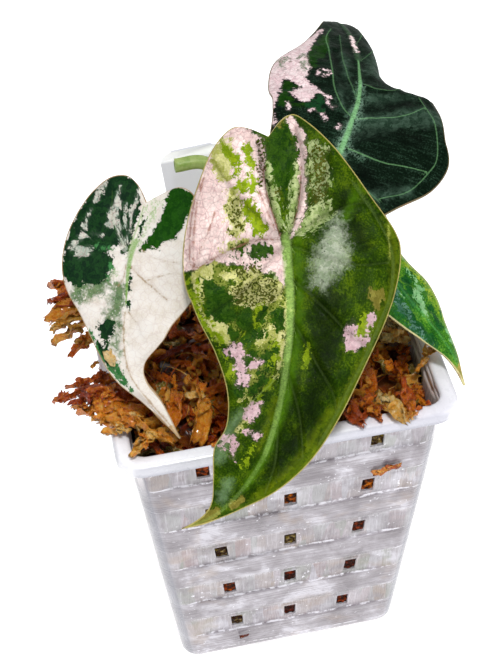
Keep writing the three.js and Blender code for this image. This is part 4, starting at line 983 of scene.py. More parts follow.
            ([(17, -18.8), (22.8, -19.2), (22.6, -16.8), (18, -17)],), ([(25, -20), (28.8, -19), (24.6, -16)],),
            ([(12, -19), (13, -15)], 1, 1), ([(38, -15.4), (46, -15.4), (56, -14)], 1.6, 1.2),
            ([(52, -20), (60, -16.4), (68, -12)], 0.6, 0.6),
            ([(46, -13), (64, -10)], 1.8, 1.2),
        ], ragged=0.5, cover=0.97),
        coat("white", (236, 220, 220), (220, 192, 196), [
            ([(2, -21), (4, -23.4), (10, -25.4), (18, -27.4), (28, -29), (36, -28.6), (44, -25.8), (50, -22.6),
                (56, -19.6), (62, -16.4), (70, -11.4), (72, -9.6), (62, -13), (56, -14.8), (50, -16), (44, -17),
                (40, -16.4), (37, -15.2), (34, -16.2), (30, -17), (27, -15.8), (25, -13), (22.4, -11.8),
                (19, -8), (18.6, -9.6), (21.4, -12), (20.6, -13.6), (17, -13.4), (15, -14.4), (14.6, -17),
                (17, -19.4), (21, -21), (23.4, -19.8), (24, -17.4), (28, -20), (30, -23.6), (24, -24),
                (14, -24), (8, -23)],),
            ([(7, -3.2), (8.4, -2.8)], 0.35, 0.3), ([(9.4, -7.6), (12.4, -10.6)], 0.35, 0.5),
            ([(14.4, -6.9), (15, -6.3)], 0.25, 0.25), ([(16, -8.4), (18, -9.4)], 0.35, 0.3),
            ([(33, -13.4), (34.6, -13)], 0.5, 0.5),
            ([(32.4, -11.6), (33.6, -10), (35.4, -10.2), (36, -12)], 0.3, 0.3),
            ([(52, -0.7), (66, -1.2)], 0.3, 0.45), ([(11, -13), (12.6, -12)], 0.3, 0.3),
            ([(10, -19), (12.6, -20)], 0.4, 0.3),
        ], ragged=0.4),
        coat("grey", (150, 156, 138), (92, 108, 86), [([(37, -25), (42, -23.4)], 0.9, 1.2), ([(35, -17.6),
            (40, -17.6)], 0.8, 1.2), ([(43, -20), (45, -18)], 0.6, 0.9)], ragged=0.8, cover=0.6, soft=0.3),
        coat("dark", (12, 48, 26), (24, 66, 34), [([(13, -14), (15, -11), (20, -12)], 1, 1), ([(16, -13),
            (12, -10)], 0.8, 0.8), ([(22, -22.8), (22.4, -20)], 0.3, 0.3)], ragged=0.4),
    ],
    "right": [
        coat("lime", (158, 180, 46), (92, 142, 30), [([(10, -8), (18, -8.6), (26, -9.4), (34, -8.8),
            (41, -6)], 2.6, 1.6), ([(30, -7), (36, -5.6)], 0.9, 0.7)], ragged=0.9, cover=0.8),
        coat("mint", (156, 202, 146), (102, 164, 102), [
            ([(26, -3.6), (30, -2.2), (33, -0.8)], 1.5, 0.9), ([(19, -6), (26, -6)], 0.6, 0.5),
            ([(23.4, 2), (25, 1.4)], 0.8, 0.5), ([(41, -4), (46, -2)], 0.6, 0.4),
        ], ragged=0.7, cover=0.92),
        coat("forest", (14, 66, 24), (28, 92, 36), [
            ([(20, -4), (24, -2)], 1.2, 1), ([(33, -4), (38, -2.4)], 1.2, 1),
            ([(22, 4), (32, 4.6), (40, 3.4)], 2, 1.2), ([(16, 0), (28, 0.6)], 1.2, 0.8),
        ], ragged=0.7),
        coat("sheen", (96, 136, 118), (48, 92, 72), [([(22, 3.4), (32, 5),
            (40, 4.4)], 1.8, 1)], ragged=0.9, cover=0.5, soft=0.4, streak=True),
        coat("tan", (186, 156, 64), (146, 124, 44), [([(51.5, 0.6), (57.5, 1.4)], 1.2, 2.2)], ragged=0.4),
    ],
}

# Ground colours of each blade, and the colours of its veins, its margin and its underside
GROUND = {
    "front": (tone(26, 48, 2), tone(44, 70, 3), tone(78, 102, 7)),
    "left": (tone(230, 226, 220), tone(224, 217, 209), tone(212, 203, 190)),
    "back": (tone(3, 13, 6), tone(8, 24, 12), tone(40, 62, 48)),
    "right": (tone(24, 78, 16), tone(56, 122, 28), tone(112, 160, 46)),
}
VEIN_TONE = dict(
    front=tone(138, 170, 88), left=tone(120, 160, 78), back=tone(116, 168, 112), right=tone(84, 152, 84),
)
MARGIN_TONE = dict(
    front=tone(176, 164, 96), left=tone(176, 150, 116), back=tone(118, 106, 78), right=tone(216, 206, 150),
)
UNDER_TONE = dict(
    front=(tone(112, 140, 78), tone(160, 170, 120)), left=(tone(206, 198, 186), tone(180, 190, 160)),
    back=(tone(92, 112, 82), tone(140, 140, 116)), right=(tone(150, 150, 70), tone(120, 140, 70)),
)
# Painted shade and painted light on each upper face: how dark its sunk places are painted, and how light its
# raised ones
FORM_SHADE = {"front": (0.68, 1.26), "left": (0.9, 1.05), "back": (0.5, 1.5), "right": (0.6, 1.2)}
GLOSS = {
    "front": dict(Specular_IOR_Level=0.035),
    "left": dict(Specular_IOR_Level=0.05),
    "back": dict(
        Specular_IOR_Level=0.03, Sheen_Weight=0.02, Sheen_Roughness=0.4, Sheen_Tint=(0.7, 0.9, 0.78, 1),
    ),
    "right": dict(Specular_IOR_Level=0.08),
}
# Painted layers that show the fine net of veins in pink brown, and those that hide it
NET_SHOWN = ("cream", "white", "pale")
NET_HIDDEN = ("dark", "lime", "oat", "forest")


def blade_skin(name):
    """Upper face of a leaf: its mottled ground, its painted layers with their torn cell edges, its fine
    net of veins, its margin, painted shade in its sunk places, painted light on its raised ones, small
    painted glints, and a waxy gloss over small swellings"""
    low, mid, high = GROUND[name]
    nodes = new_finish("skin_" + name, mid, IOR=1.45, **GLOSS[name])
    flat, ray = nodes.vector("flat"), nodes.vector("ray")
    cells = nodes.use(CELLS, Place=flat, Size=1.2)
    grains = nodes.use(CELLS, Place=flat, Size=0.45)
    fine = nodes.noise(flat, 1.9, 5.0, 0.7)

    def torn(place, broad, near, small):
        return (nodes.noise(place, broad, 2.0) - 0.5) * 4.4 + (near - 0.5) * 1.5 + (small - 0.5)

    ways = {False: torn(flat, 0.42, cells, grains)}
    if any(layer["streak"] for layer in PAINT[name]):
        near, small = nodes.use(CELLS, Place=ray, Size=0.6), nodes.use(CELLS, Place=ray, Size=0.25)
        ways[True] = torn(ray, 0.8, near, small)
    broad = nodes.noise(flat, 0.17, 3.0, 0.6)
    if name == "back":
        hairs = nodes.noise(nodes.stretch(flat, (1.5, 0.14, 1)), 1.0, 4.0, 0.6, 0.8)
        broad = broad * 0.4 + hairs * 0.6
    mottle = nodes.step(broad * 0.5 + fine * 0.5, 0.38, 0.64)
    colour = nodes.ramp(mottle, [(0.0, low), (0.5, mid), (1.0, high)])
    mix = nodes.step(cells * 0.25 + fine * 0.75, 0.34, 0.66)
    specks = grains * 0.6 + fine * 0.4
    net = nodes.use(NET, Place=flat, Size=2.1, Width=0.07)
    lined = net * (0.35 if name == "left" else 0.0)
    for layer in PAINT[name]:
        depth, tear = nodes.value(layer["name"]), ways[layer["streak"]]
        mask = nodes.use(TORN, Field=depth, Torn=tear, Ragged=layer["ragged"] * 1.5, Soft=layer["soft"])
        if layer["soft"] < 0.5:
            bleed = nodes.use(TORN, Field=depth, Torn=tear, Ragged=layer["ragged"], Soft=0.9)
            colour = nodes.blend(bleed * 0.3, colour, layer["mottle"])
        if layer["cover"] < 1:
            edge = 0.78 - 0.62 * layer["cover"]
            mask = mask * nodes.step(specks, edge - 0.03, edge + 0.03)
        if layer["strength"] < 1:
            mask = mask * layer["strength"]
        if layer["name"] in NET_SHOWN:
            lined = nodes.sum("MAXIMUM", lined, net * mask)
        elif layer["name"] in NET_HIDDEN:
            lined = lined * (1.0 - mask)
        colour = nodes.blend(mask, colour, nodes.blend(mix, layer["colour"], layer["mottle"]))
    colour = nodes.blend(lined * 0.42, colour, tone(150, 100, 104))
    across = nodes.step(abs(nodes.value("aside")), 0.5, 1.7, 1.0, 0.0)
    breaks = nodes.step(fine, 0.3, 0.6, 0.6, 1.0)
    colour = nodes.blend(across * (nodes.value("vein") * breaks), colour, VEIN_TONE[name])
    # Painted glints: small pale highlight flecks on the raised places of the front and right leaves
    if name in ("front", "right"):
        raised = nodes.step(nodes.value("form"), -0.1, 0.5)
        glints = nodes.step(nodes.noise(flat, 2.4, 3.0, 0.6), 0.64, 0.72, 0.0, 0.3)
        colour = nodes.blend(glints * raised, colour, tone(232, 232, 200))
    colour = nodes.blend(nodes.step(nodes.value("margin"), 0.2, 0.45, 0.9, 0.0), colour, MARGIN_TONE[name])
    # Fine random tone, multiplied by painted shade in the sunk places and painted light on the raised ones
    if name == "left":
        shade = nodes.step(fine, 0.2, 0.8, 0.93, 1.04)
    else:
        shade = nodes.step(grains * 0.25 + fine * 0.75, 0.28, 0.72, 0.82, 1.14)
    shade = shade * nodes.step(nodes.value("form"), -0.9, 0.9, *FORM_SHADE[name])
    grey = nodes.add("ShaderNodeCombineXYZ", {0: shade, 1: shade, 2: shade})
    colour = nodes.blend(1.0, colour, grey, "MULTIPLY")
    dull = 0.2 if name in ("back", "left") else 0.0
    dullness = nodes.patches(flat, 0.5, 4.0, 0.26 + dull, 0.42 + dull, 0.6)
    bulges = nodes.add("ShaderNodeTexVoronoi", {"Vector": flat, "Scale": 0.95}, "Distance", feature="SMOOTH_F1")
    return nodes.dress(colour, dullness, fine * 0.9 - bulges * 0.5 - net * 0.25, 0.3, 0.35)


def underside_skin(name):
    """Lower face of a leaf: duller and paler, with its veins standing out"""
    low, high = UNDER_TONE[name]
    nodes = new_finish("underside_" + name, low, IOR=1.4)
    flat = nodes.vector("flat")
    colour = nodes.blend(nodes.step(nodes.noise(flat, 0.4, 4.0, 0.6), 0.35, 0.65), low, high)
    across = nodes.step(abs(nodes.value("aside")), 0.5, 2.0, 0.6, 0.0)
    colour = nodes.blend(nodes.value("vein") * across, colour, VEIN_TONE[name])
    net = nodes.use(NET, Place=flat, Size=1.6, Width=0.08)
    relief = nodes.noise(flat, 2.0, 3.0) + net * 0.5
    return nodes.dress(colour, nodes.patches(flat, 0.9, 3.0, 0.5, 0.66), relief, 0.2, 0.5)


def margin_skin(name):
    """Thin cut edge of a leaf, dry and pale with brown stretches"""
    nodes = new_finish("margin_" + name, MARGIN_TONE[name])
    flat = nodes.vector("flat")
    dry = nodes.step(nodes.noise(flat, 0.35, 3.0), 0.45, 0.7)
    colour = nodes.blend(dry, MARGIN_TONE[name], tone(150, 108, 62))
    return nodes.dress(colour, 0.5, nodes.noise(flat, 2.4, 3.0), 0.1, 0.5)


# Pot


def wall_half(z):
    return lerp(WALL_BASE_HALF, WALL_TOP_HALF, z / WALL_TOP)


def row_height(row):
    return POT_HEIGHT - ROW_TOP_DROP - ROW_PITCH * row


def column_place(row):
    """How far the outer windows of a row stand from its middle one"""
    return COLUMN_TOP - COLUMN_STEP * row


def from_window(across, row):
    """Distance of places on a wall from the upright middle line of the nearest window"""
    return np.minimum(np.abs(across), np.abs(np.abs(across) - column_place(row)))


def along_wall(spots):
    """Place along the wall that each spot is nearest to"""
    return np.where(np.abs(spots[:, 1]) > np.abs(spots[:, 0]), spots[:, 0], spots[:, 1])


def round_square(half, corner, straight):
    """Places round a square with rounded corners: its front side, and then that side turned three times"""
    inner = half - corner
    turns = np.linspace(np.pi / 4, 0, 5, endpoint=False)
    arc = [(-inner - corner * math.sin(a), -inner - corner * math.cos(a)) for a in turns]
    front = arc + [(x, -half) for x in straight(inner)] + [(-x, y) for x, y in reversed(arc)]
    ring = []
    for turn in range(4):
        c, s = math.cos(turn * math.pi / 2), math.sin(turn * math.pi / 2)
        ring += [(x * c - y * s, x * s + y * c) for x, y in front[:-1]]
    ring.append(ring[0])
    return np.array(ring)


def wall_stations(row_share):
    """Where the wall's upright grid lines stand: close round each window and even between them"""
    column = column_place(row_share)

    def straight(end):
        frame_lines = [HOLE_HALF, HOLE_HALF + FRAME_INNER, HOLE_HALF + FRAME_OUTER]
        between = list(np.linspace(frame_lines[-1], column - frame_lines[-1], 15))[1:-1]
        outer = [column - x for x in reversed(frame_lines)] + [column + x for x in frame_lines]
        beyond = list(np.linspace(column + frame_lines[-1], end, 9))[1:]
        half_line = [0.0] + frame_lines + between + outer + beyond
        return [-x for x in reversed(half_line[1:])] + half_line

    return straight


def wall_levels():
    """Heights of the wall's level grid lines from the top down"""
    heights = [WALL_TOP + 2.2, WALL_TOP - 0.4]
    band_end = BAND_HALF + BAND_STEP
    marks = [
        band_end, BAND_HALF + BAND_STEP / 2, BAND_HALF, HOLE_TALL_HALF + FRAME_OUTER,
        HOLE_TALL_HALF + FRAME_INNER, HOLE_TALL_HALF, HOLE_TALL_HALF / 3,
    ]
    for row in range(ROW_COUNT):
        middle = row_height(row)
        heights += [middle + x for x in marks] + [middle - x for x in reversed(marks)]
        end = row_height(row + 1) + band_end if row < ROW_COUNT - 1 else FOOT_RADIUS + 0.4
        if middle - band_end - end > 3:
            heights += list(np.linspace(middle - band_end, end, 7))[1:-1]
    heights += [6.2, 5.2, 4.0, 2.9, 1.9, 1.1, 0.5, 0.15, 0.0]
    return sorted({round(z, 3) for z in heights}, reverse=True)


def pot_relief(x, z, half):
    """How far the wall stands out from its plain taper: recessed rows, ribs in them, and window frames"""
    out = np.zeros(len(x))
    band_end = BAND_HALF + BAND_STEP
    for row in range(ROW_COUNT):
        dz, near = np.abs(z - row_height(row)), from_window(x, row)
        in_band = 1 - fade(dz, BAND_HALF, band_end)
        out -= BAND_RECESS * in_band
        out += 0.16 * fade(dz, BAND_HALF + 0.1, band_end) * (1 - fade(dz, band_end, BAND_HALF + 2.6))
        ribs = 0.07 * np.cos(2 * np.pi * x / 2.9) * (1 - fade(dz, BAND_HALF - 1, BAND_HALF))
        out += ribs * in_band * fade(near, HOLE_HALF + FRAME_OUTER, HOLE_HALF + 1.4)
        frame_x = 1 - fade(near, HOLE_HALF + FRAME_INNER, HOLE_HALF + FRAME_OUTER)
        frame_z = 1 - fade(dz, HOLE_TALL_HALF + FRAME_INNER, HOLE_TALL_HALF + FRAME_OUTER)
        out += 0.3 * frame_x * frame_z
    return out * (1 - fade(np.abs(x), half - WALL_CORNER - 5, half - WALL_CORNER - 0.5))


def face_middles(faces):
    return np.array([face.calc_center_median()[:] for face in faces])


def wall_ring(z):
    """Places round the outside of the wall at a height, with its relief"""
    share = np.clip((row_height(0) - z) / ROW_PITCH, 0, ROW_COUNT - 1)
    rise = max(0.0, FOOT_RADIUS - z)
    half = wall_half(z) - (FOOT_RADIUS - math.sqrt(FOOT_RADIUS ** 2 - rise ** 2))
    ring = round_square(half, WALL_CORNER, wall_stations(share))
    level = np.full(len(ring), z)
    spots = np.column_stack([ring, level])
    along_x = np.abs(ring[:, 1]) >= np.abs(ring[:, 0])
    proud = pot_relief(np.where(along_x, ring[:, 0], ring[:, 1]), level, half)
    calm = float(fade(z, 3.0, 9.0) * (1 - fade(z, WALL_TOP - 4, WALL_TOP - 1)))
    proud = proud + 0.1 * calm * wobble(spots, 7.0, 1.3)
    facing = np.sign(ring) * np.column_stack([~along_x, along_x])
    in_corner = np.minimum(np.abs(ring[:, 0]), np.abs(ring[:, 1])) > half - WALL_CORNER
    way = np.where(in_corner[:, None], unit(ring), facing)
    return np.column_stack([ring + way * proud[:, None], level])


def pot_mesh():
    """The pot's one-sheet wall with its windows cut, and its floor with the drains cut, joined at the foot"""
    mesh = bmesh.new()
    ring_grid(mesh, [wall_ring(z) for z in wall_levels()])
    middles = face_middles(mesh.faces)
    across, cut = along_wall(middles), np.zeros(len(middles), bool)
    for row in range(ROW_COUNT):
        tall = np.abs(middles[:, 2] - row_height(row)) < HOLE_TALL_HALF
        cut |= tall & (from_window(across, row) < HOLE_HALF)
    bmesh.ops.delete(mesh, geom=[face for face, gone in zip(mesh.faces, cut) if gone], context="FACES")

    def at_foot(edge):
        return edge.is_boundary and max(vert.co.z for vert in edge.verts) < 0.01

    inner = wall_half(0) - FOOT_RADIUS - FOOT_SLOPE
    line = [(k - (DRAIN_SIDE - 1) / 2) * DRAIN_PITCH for k in range(DRAIN_SIDE)]
    drains = [(x, y) for x in line for y in line]

    def floor_shape(t, s):
        x, y = rounded((2 * t - 1) * inner, (1 - 2 * s) * inner, inner, WALL_CORNER)
        for hole_x, hole_y in drains:
            away = np.hypot(x - hole_x, y - hole_y)
            close = (away > DRAIN_RADIUS * 0.62) & (away < DRAIN_RADIUS * 1.38)
            x = np.where(close, hole_x + (x - hole_x) / np.maximum(away, TINY) * DRAIN_RADIUS, x)
            y = np.where(close, hole_y + (y - hole_y) / np.maximum(away, TINY) * DRAIN_RADIUS, y)
        return np.column_stack([x, y, 0 * x])

    shaped_grid(mesh, FLOOR_CELLS, FLOOR_CELLS, floor_shape)
    quads = [face for face in mesh.faces if all(vert.co.z < 0.01 for vert in face.verts)]
    middles = face_middles(quads)
    away = np.min([np.hypot(middles[:, 0] - x, middles[:, 1] - y) for x, y in drains], axis=0)
    gone = [face for face, near in zip(quads, away < DRAIN_RADIUS * 0.98) if near]
    bmesh.ops.delete(mesh, geom=gone, context="FACES")
    gap_edges = [
        edge for edge in mesh.edges
        if at_foot(edge) and all(max(abs(v.co.x), abs(v.co.y)) > inner - WALL_CORNER for v in edge.verts)
    ]
    bmesh.ops.bridge_loops(mesh, edges=gap_edges)
    return mesh


# Section of the rim and its skirt: distance from the middle and height
RIM_PROFILE = [
    (45, 128), (45.05, 131.6), (45.2, 132.3), (45.6, 132.75), (46.2, 132.95), (47.4, 133),
    (48.6, 132.97), (49.3, 132.8), (49.75, 132.4), (49.95, 131.8), (50, 130.6), (49.9, 129.2),
    (49.7, 128.7), (49.35, 128.5), (48.9, 128.55), (48.6, 128.9), (48.5, 130.8), (48.1, 131.3),
    (46.4, 131.4), (46, 130.8), (46, 128),
]


def rim_ring(mesh):
    """The pot's broad rim and skirt: one closed section swept round the rounded square"""
    rings = []
    for half, z in RIM_PROFILE + RIM_PROFILE[:1]:
        corner = lerp(RIM_CORNER_INSIDE, RIM_CORNER, np.clip((half - 45) / 5, 0, 1))
        ring = round_square(half, corner, lambda end: list(np.linspace(-end, end, 29)))
        spots = np.column_stack([ring, np.full(len(ring), z)])
        spots[:, :2] += unit(ring) * (0.09 * wobble(spots, 16.0, 5.5))[:, None]
        rings.append(spots)
    wall = set(mesh.faces)
    ring_grid(mesh, rings)
    ring_faces = [face for face in mesh.faces if face not in wall]
    bmesh.ops.recalc_face_normals(mesh, faces=ring_faces)
    for face in ring_faces:
        face.material_index = 1


def rim_plastic():
    """Glossy opaque white of the pot's rim, with soft unevenness from its mould, and painted shade on its
    outer side, darkest along its lower edge
    """
    nodes = new_finish("pot_rim_plastic", tone(236, 235, 241), IOR=1.49, Coat_Weight=0.3, Coat_Roughness=0.12)
    place = nodes.place()
    haze = nodes.step(nodes.noise(place, 0.05, 3.0, 0.5), 0.35, 0.65)
    colour = nodes.blend(haze, tone(240, 240, 245), tone(229, 228, 237))
    # Painted shade: grey on the rim's outer side, darkest along its lower edge
    colour = nodes.blend(nodes.value("lip_shade"), colour, tone(150, 151, 166))
    dullness = nodes.patches(place, 0.3, 4.0, 0.22, 0.36)
    return nodes.dress(colour, dullness, nodes.noise(place, 0.25, 4.0, 0.5), 0.12, 0.3)


def wall_plastic():
    """Milky clear plastic of the wall: cloudy, with panels in the window rows where the wet moss shows
    through, fine brushed lines, painted highlights in bright wavy ledge lines and glints along the rows'
    edges, painted shade on its rounded corners, and painted light on its inner face near the top"""
    nodes = new_finish("pot_wall_plastic", tone(192, 187, 200), IOR=1.49, Coat_Weight=0.5, Coat_Roughness=0.1)
    place = nodes.place()
    band, corner = nodes.value("band"), nodes.value("corner")
    cloud = nodes.noise(place, 0.085, 5.0, 0.6, 0.4)
    level = nodes.noise(nodes.stretch(place, (0.05, 0.05, 1.3)), 1.0, 4.0, 0.6)
    upright = nodes.noise(nodes.stretch(place, (1.3, 1.3, 0.07)), 1.0, 4.0, 0.6)
    lines = nodes.blend(band, level, upright)
    colour = nodes.ramp(nodes.step(cloud * 0.74 + lines * 0.26, 0.36, 0.64), [
        (0.0, tone(112, 104, 111)), (0.35, tone(136, 129, 136)), (0.7, tone(158, 152, 160)),
        (1.0, tone(202, 199, 208)),
    ])
    panel = nodes.use(CELLS, Place=nodes.stretch(place, (0.24, 0.24, 0.04)), Size=1.0)
    seen = nodes.ramp(panel, [
        (0.0, tone(150, 130, 112)), (0.25, tone(172, 166, 174)), (0.5, tone(128, 134, 118)),
        (0.75, tone(184, 181, 192)), (1.0, tone(150, 122, 120)),
    ])
    colour = nodes.blend(band * nodes.step(nodes.noise(place, 0.2, 3.0), 0.35, 0.6, 0.15, 0.62), colour, seen)
    stain = nodes.step(nodes.noise(place, 0.05, 3.0, 0.6, 0.5), 0.54, 0.7, 0.0, 0.5)
    colour = nodes.blend(stain, colour, tone(156, 134, 118))
    # Painted highlights: bright wavy dashed lines along the rows' ledges, and small glints
    sway = (nodes.noise(place, 0.11, 3.0) - 0.5) * 1.6
    middle = nodes.sum("PINGPONG", nodes.height(place) + sway - row_height(0), ROW_PITCH / 2)
    ledge = nodes.step(abs(middle - (BAND_HALF + 0.3)), 0.08, 0.4, 1.0, 0.0)
    dashes = nodes.step(nodes.noise(place, 0.32, 4.0, 0.7), 0.42, 0.56)
    spots = nodes.step(nodes.noise(place, 0.75, 2.0), 0.66, 0.7)
    glints = spots * nodes.step(nodes.noise(place, 0.12, 2.0), 0.45, 0.6)
    bright = nodes.sum("MAXIMUM", ledge * dashes * 0.85, glints * 0.9)
    combed = band * nodes.step(upright, 0.58, 0.72) * 0.28
    colour = nodes.blend(nodes.sum("MAXIMUM", bright, combed), colour, tone(240, 238, 246))
    colour = nodes.blend(nodes.value("frame") * 0.12, colour, tone(226, 220, 226))
    # Painted shade: the rounded corners turn grey, darkest at their outer line
    colour = nodes.blend(corner * 0.45, colour, tone(150, 150, 162))
    colour = nodes.blend(nodes.step(corner, 0.7, 1.0, 0.0, 0.5), colour, tone(92, 94, 110))
    # Painted light: the inner face near the top is lightened
    colour = nodes.blend(nodes.value("inside"), colour, tone(244, 238, 240))
    return nodes.dress(colour, nodes.step(lines, 0.3, 0.7, 0.16, 0.4), lines * 0.7 + cloud * 1.6, 0.4, 0.6)


def pot_piece():
    mesh = pot_mesh()
    bmesh.ops.solidify(mesh, geom=mesh.faces[:], thickness=WALL_THICK)
    rim_ring(mesh)
    data = as_data("pot_basket", mesh)
    spots = corners(data)
    z, flat = spots[:, 2], np.abs(spots[:, :2])
    band, frames, across = np.zeros(len(spots)), np.zeros(len(spots)), along_wall(spots)
    for row in range(ROW_COUNT):
        dz, near = np.abs(z - row_height(row)), from_window(across, row)
        band = np.maximum(band, 1 - fade(dz, BAND_HALF - 0.2, BAND_HALF + 0.4))
        beside = 1 - fade(near, HOLE_HALF + 0.4, HOLE_HALF + 0.9)
        frames = np.maximum(frames, beside * (1 - fade(dz, HOLE_TALL_HALF + 0.4, HOLE_TALL_HALF + 0.9)))
    mark(data, "band", band)
    mark(data, "frame", frames)
    # Painted shade on the wall's rounded corners
    mark(data, "corner", fade(np.min(flat, axis=1) - wall_half(z) + WALL_CORNER, 0.6, 2.6))
    wide = np.max(flat, axis=1)
    low = min(height for half, height in RIM_PROFILE if half > 49)
    # Painted shade on the rim's outer side, darkest along its lower edge
    mark(data, "lip_shade", fade(wide, 48.8, 49.7) * (0.45 + 0.45 * (1 - fade(z - low, 0.4, 1.6))))
    # Painted light on the wall's inner face near the top
    inside = wide < wall_half(z) - WALL_THICK * 0.6
    mark(data, "inside", 0.85 * inside * fade(z, POT_HEIGHT - 26, POT_HEIGHT - 6))
    finish_piece("pot_basket", data, [wall_plastic(), rim_plastic()], ["pot"])


# Moss


def bed_height(x, y):
    out = np.hypot(x - MOUND_PLACE[0], y - MOUND_PLACE[1]) / MOUND_RADIUS
    return POT_HEIGHT + BED_TOP + MOUND_HEIGHT * np.sqrt(np.maximum(0, 1 - out * out))


def moss_bed():
    """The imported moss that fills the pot: a lumpy block that its windows show"""
    mesh = bmesh.new()
    bmesh.ops.create_cube(mesh, size=2)
    bmesh.ops.subdivide_edges(mesh, edges=mesh.edges[:], cuts=44, use_grid_fill=True)
    spots = np.array([vert.co[:] for vert in mesh.verts])
    bottom = WALL_THICK + GAP + 0.4
    z = lerp(bottom, POT_HEIGHT + BED_TOP, (spots[:, 2] + 1) / 2)
    half = wall_half(z) - WALL_THICK - GAP - 0.3
    foot = np.maximum(0, FOOT_RADIUS - (z - bottom))
    half -= FOOT_RADIUS - np.sqrt(np.maximum(FOOT_RADIUS ** 2 - foot ** 2, 0))
    x, y = rounded(spots[:, 0] * half, spots[:, 1] * half, half, 4.5)
    top = spots[:, 2] > 0.999
    moved = np.column_stack([x, y, np.where(top, bed_height(x, y) - 1.5, z)])
    lumps = wobble(moved, 5.0, 2.2) + 0.6 * wobble(moved, 2.2, 7.7)
    way = unit(moved - np.column_stack([0 * x, 0 * x, np.clip(moved[:, 2], 30, 110)]))
    moved += way * (np.minimum(lumps, 0.2) * 1.5 - 0.35)[:, None]
    moved[:, 2] += np.where(top, 1.4 * lumps, 0)
    for vert, spot in zip(mesh.verts, moved):
        vert.co = spot
    bmesh.ops.recalc_face_normals(mesh, faces=mesh.faces[:])
    data = as_data("moss_bed", mesh)
    mark(data, "tint", 0.35 + 0.25 * wobble(corners(data), 6.0, 4.0))
    # Painted shade: the bed gets a low light value, lowest in its hollows
    mark(data, "light", fade(lumps, -0.9, 0.7) * 0.3)
    finish_piece("moss_bed", data, [moss_skin("moss_bed_skin", 0.45)], ["moss"])


# Colours of the moss along its tint from 0 to 1, and the tints that each kind of piece is given
MOSS_TONES = [
    (0, tone(98, 24, 2)), (0.18, tone(158, 52, 4)), (0.36, tone(204, 92, 8)), (0.54, tone(232, 138, 22)),
    (0.7, tone(242, 182, 72)), (0.86, tone(246, 214, 152)), (1, tone(134, 114, 14)),
]
STRAND_TINTS = (0.1, 0.22, 0.3, 0.4, 0.45, 0.52, 0.6, 0.95)
FLAKE_TINTS = (0.15, 0.28, 0.36, 0.45, 0.5, 0.58, 0.66, 0.98)
FIBRE_TINTS = (0.1, 0.3, 0.5, 0.7)
WINDOW_TINTS = (0.05, 0.2, 0.3, 0.96, 0.42, 0.98)


def moss_skin(name, gloss, wet=0.5, shine=0.5):
    """Wet dead moss: amber to red brown, fibrous, with painted shade that darkens it where it lies deep"""
    nodes = new_finish(
        name, tone(150, 80, 22), Coat_Weight=wet, Coat_Roughness=0.08, IOR=1.42, Specular_IOR_Level=shine,
    )
    place = nodes.place()
    grain = nodes.noise(place, 0.9, 5.0, 0.7)
    colour = nodes.ramp(nodes.value("tint") + (grain - 0.5) * 0.85, MOSS_TONES)
    # Painted shade: where the light value is low the moss turns near black brown
    dark = nodes.blend(nodes.step(grain, 0.3, 0.7), tone(16, 5, 1), tone(56, 20, 3))
    colour = nodes.blend(nodes.step(nodes.value("light"), -0.05, 0.72), dark, colour)
    dullness = nodes.patches(place, 1.6, 3.0, gloss - 0.22, gloss + 0.04)
    return nodes.dress(colour, dullness, nodes.noise(place, 1.7, 5.0, 0.7, 1.8), 0.8)


def scaled_strand(random):
    """Template of one moss strand along X from 0 to 1: a stem wrapped in small pointed leaves"""
    mesh = bmesh.new()
    plain_bar(mesh, 7, 5, 0.42, 0.3)
    count = 34
    for k in range(count):
        turn = k * 2.4 + random.uniform(-0.4, 0.4)
        made = bmesh.ops.create_cone(mesh, cap_ends=True, segments=4, radius1=1, radius2=0.0, depth=1)["verts"]
        long, wide = random.uniform(0.16, 0.26), random.uniform(0.34, 0.5)
        lean = random.uniform(0.3, 0.75)
        size = Matrix.Diagonal((wide, 0.09, long, 1)) @ Matrix.Translation((0, 0, 0.5))
        bmesh.ops.transform(mesh, verts=made, matrix=Matrix.Rotation(math.pi / 2, 4, "Y") @ size)
        for vert in made:
            vert.co.z += vert.co.x * lean * 3.2
        out = Matrix.Rotation(turn, 4, "X") @ Matrix.Translation(((k + 0.3) / count * 0.92, 0, 0.32))
        bmesh.ops.transform(mesh, verts=made, matrix=out)
    return mesh


def torn_flake(random, rows=9, columns=4):
    """Template of one papery flake along X from 0 to 1: thin, crumpled, with split pointed ends"""
    mesh = bmesh.new()
    seed = random.uniform(0, 90)

    def shape(t, s):
        side = 2 * s - 1
        body = 0.5 + 0.5 * np.sin(np.pi * np.clip(0.12 + 0.8 * t, 0, 1))
        x = t + 0.05 * np.sin(side * 7 + seed) * (fade(t, 0.7, 1) + 0.6 * (1 - fade(t, 0, 0.25)))
        flat = np.column_stack([x * 6, side * 1.4, 0 * x])
        crumple = 0.9 * wobble(flat, 1.1, seed) + 0.6 * wobble(flat, 0.45, seed + 5)
        body = body * (1 + 0.14 * np.sin(13 * t + seed + 4 * (side > 0)))
        return np.column_stack([x, -side * body, 0.7 * side ** 2 + crumple])

    shaped_grid(mesh, rows, columns, shape, close=False)
    bmesh.ops.solidify(mesh, geom=mesh.faces[:], thickness=0.09)
    return mesh


def thin_fibre():
    """Template of one hair-thin fibre along X from 0 to 1"""
    mesh = bmesh.new()
    plain_bar(mesh, 9, 3, 1, 0.55)
    return mesh


def along_route(points, t):
    """Place on a curve that is drawn by four points"""
    a, b, c, d = (np.asarray(point, float) for point in points)
    return a * (1 - t) ** 3 + 3 * b * t * (1 - t) ** 2 + 3 * c * t * t * (1 - t) + d * t ** 3


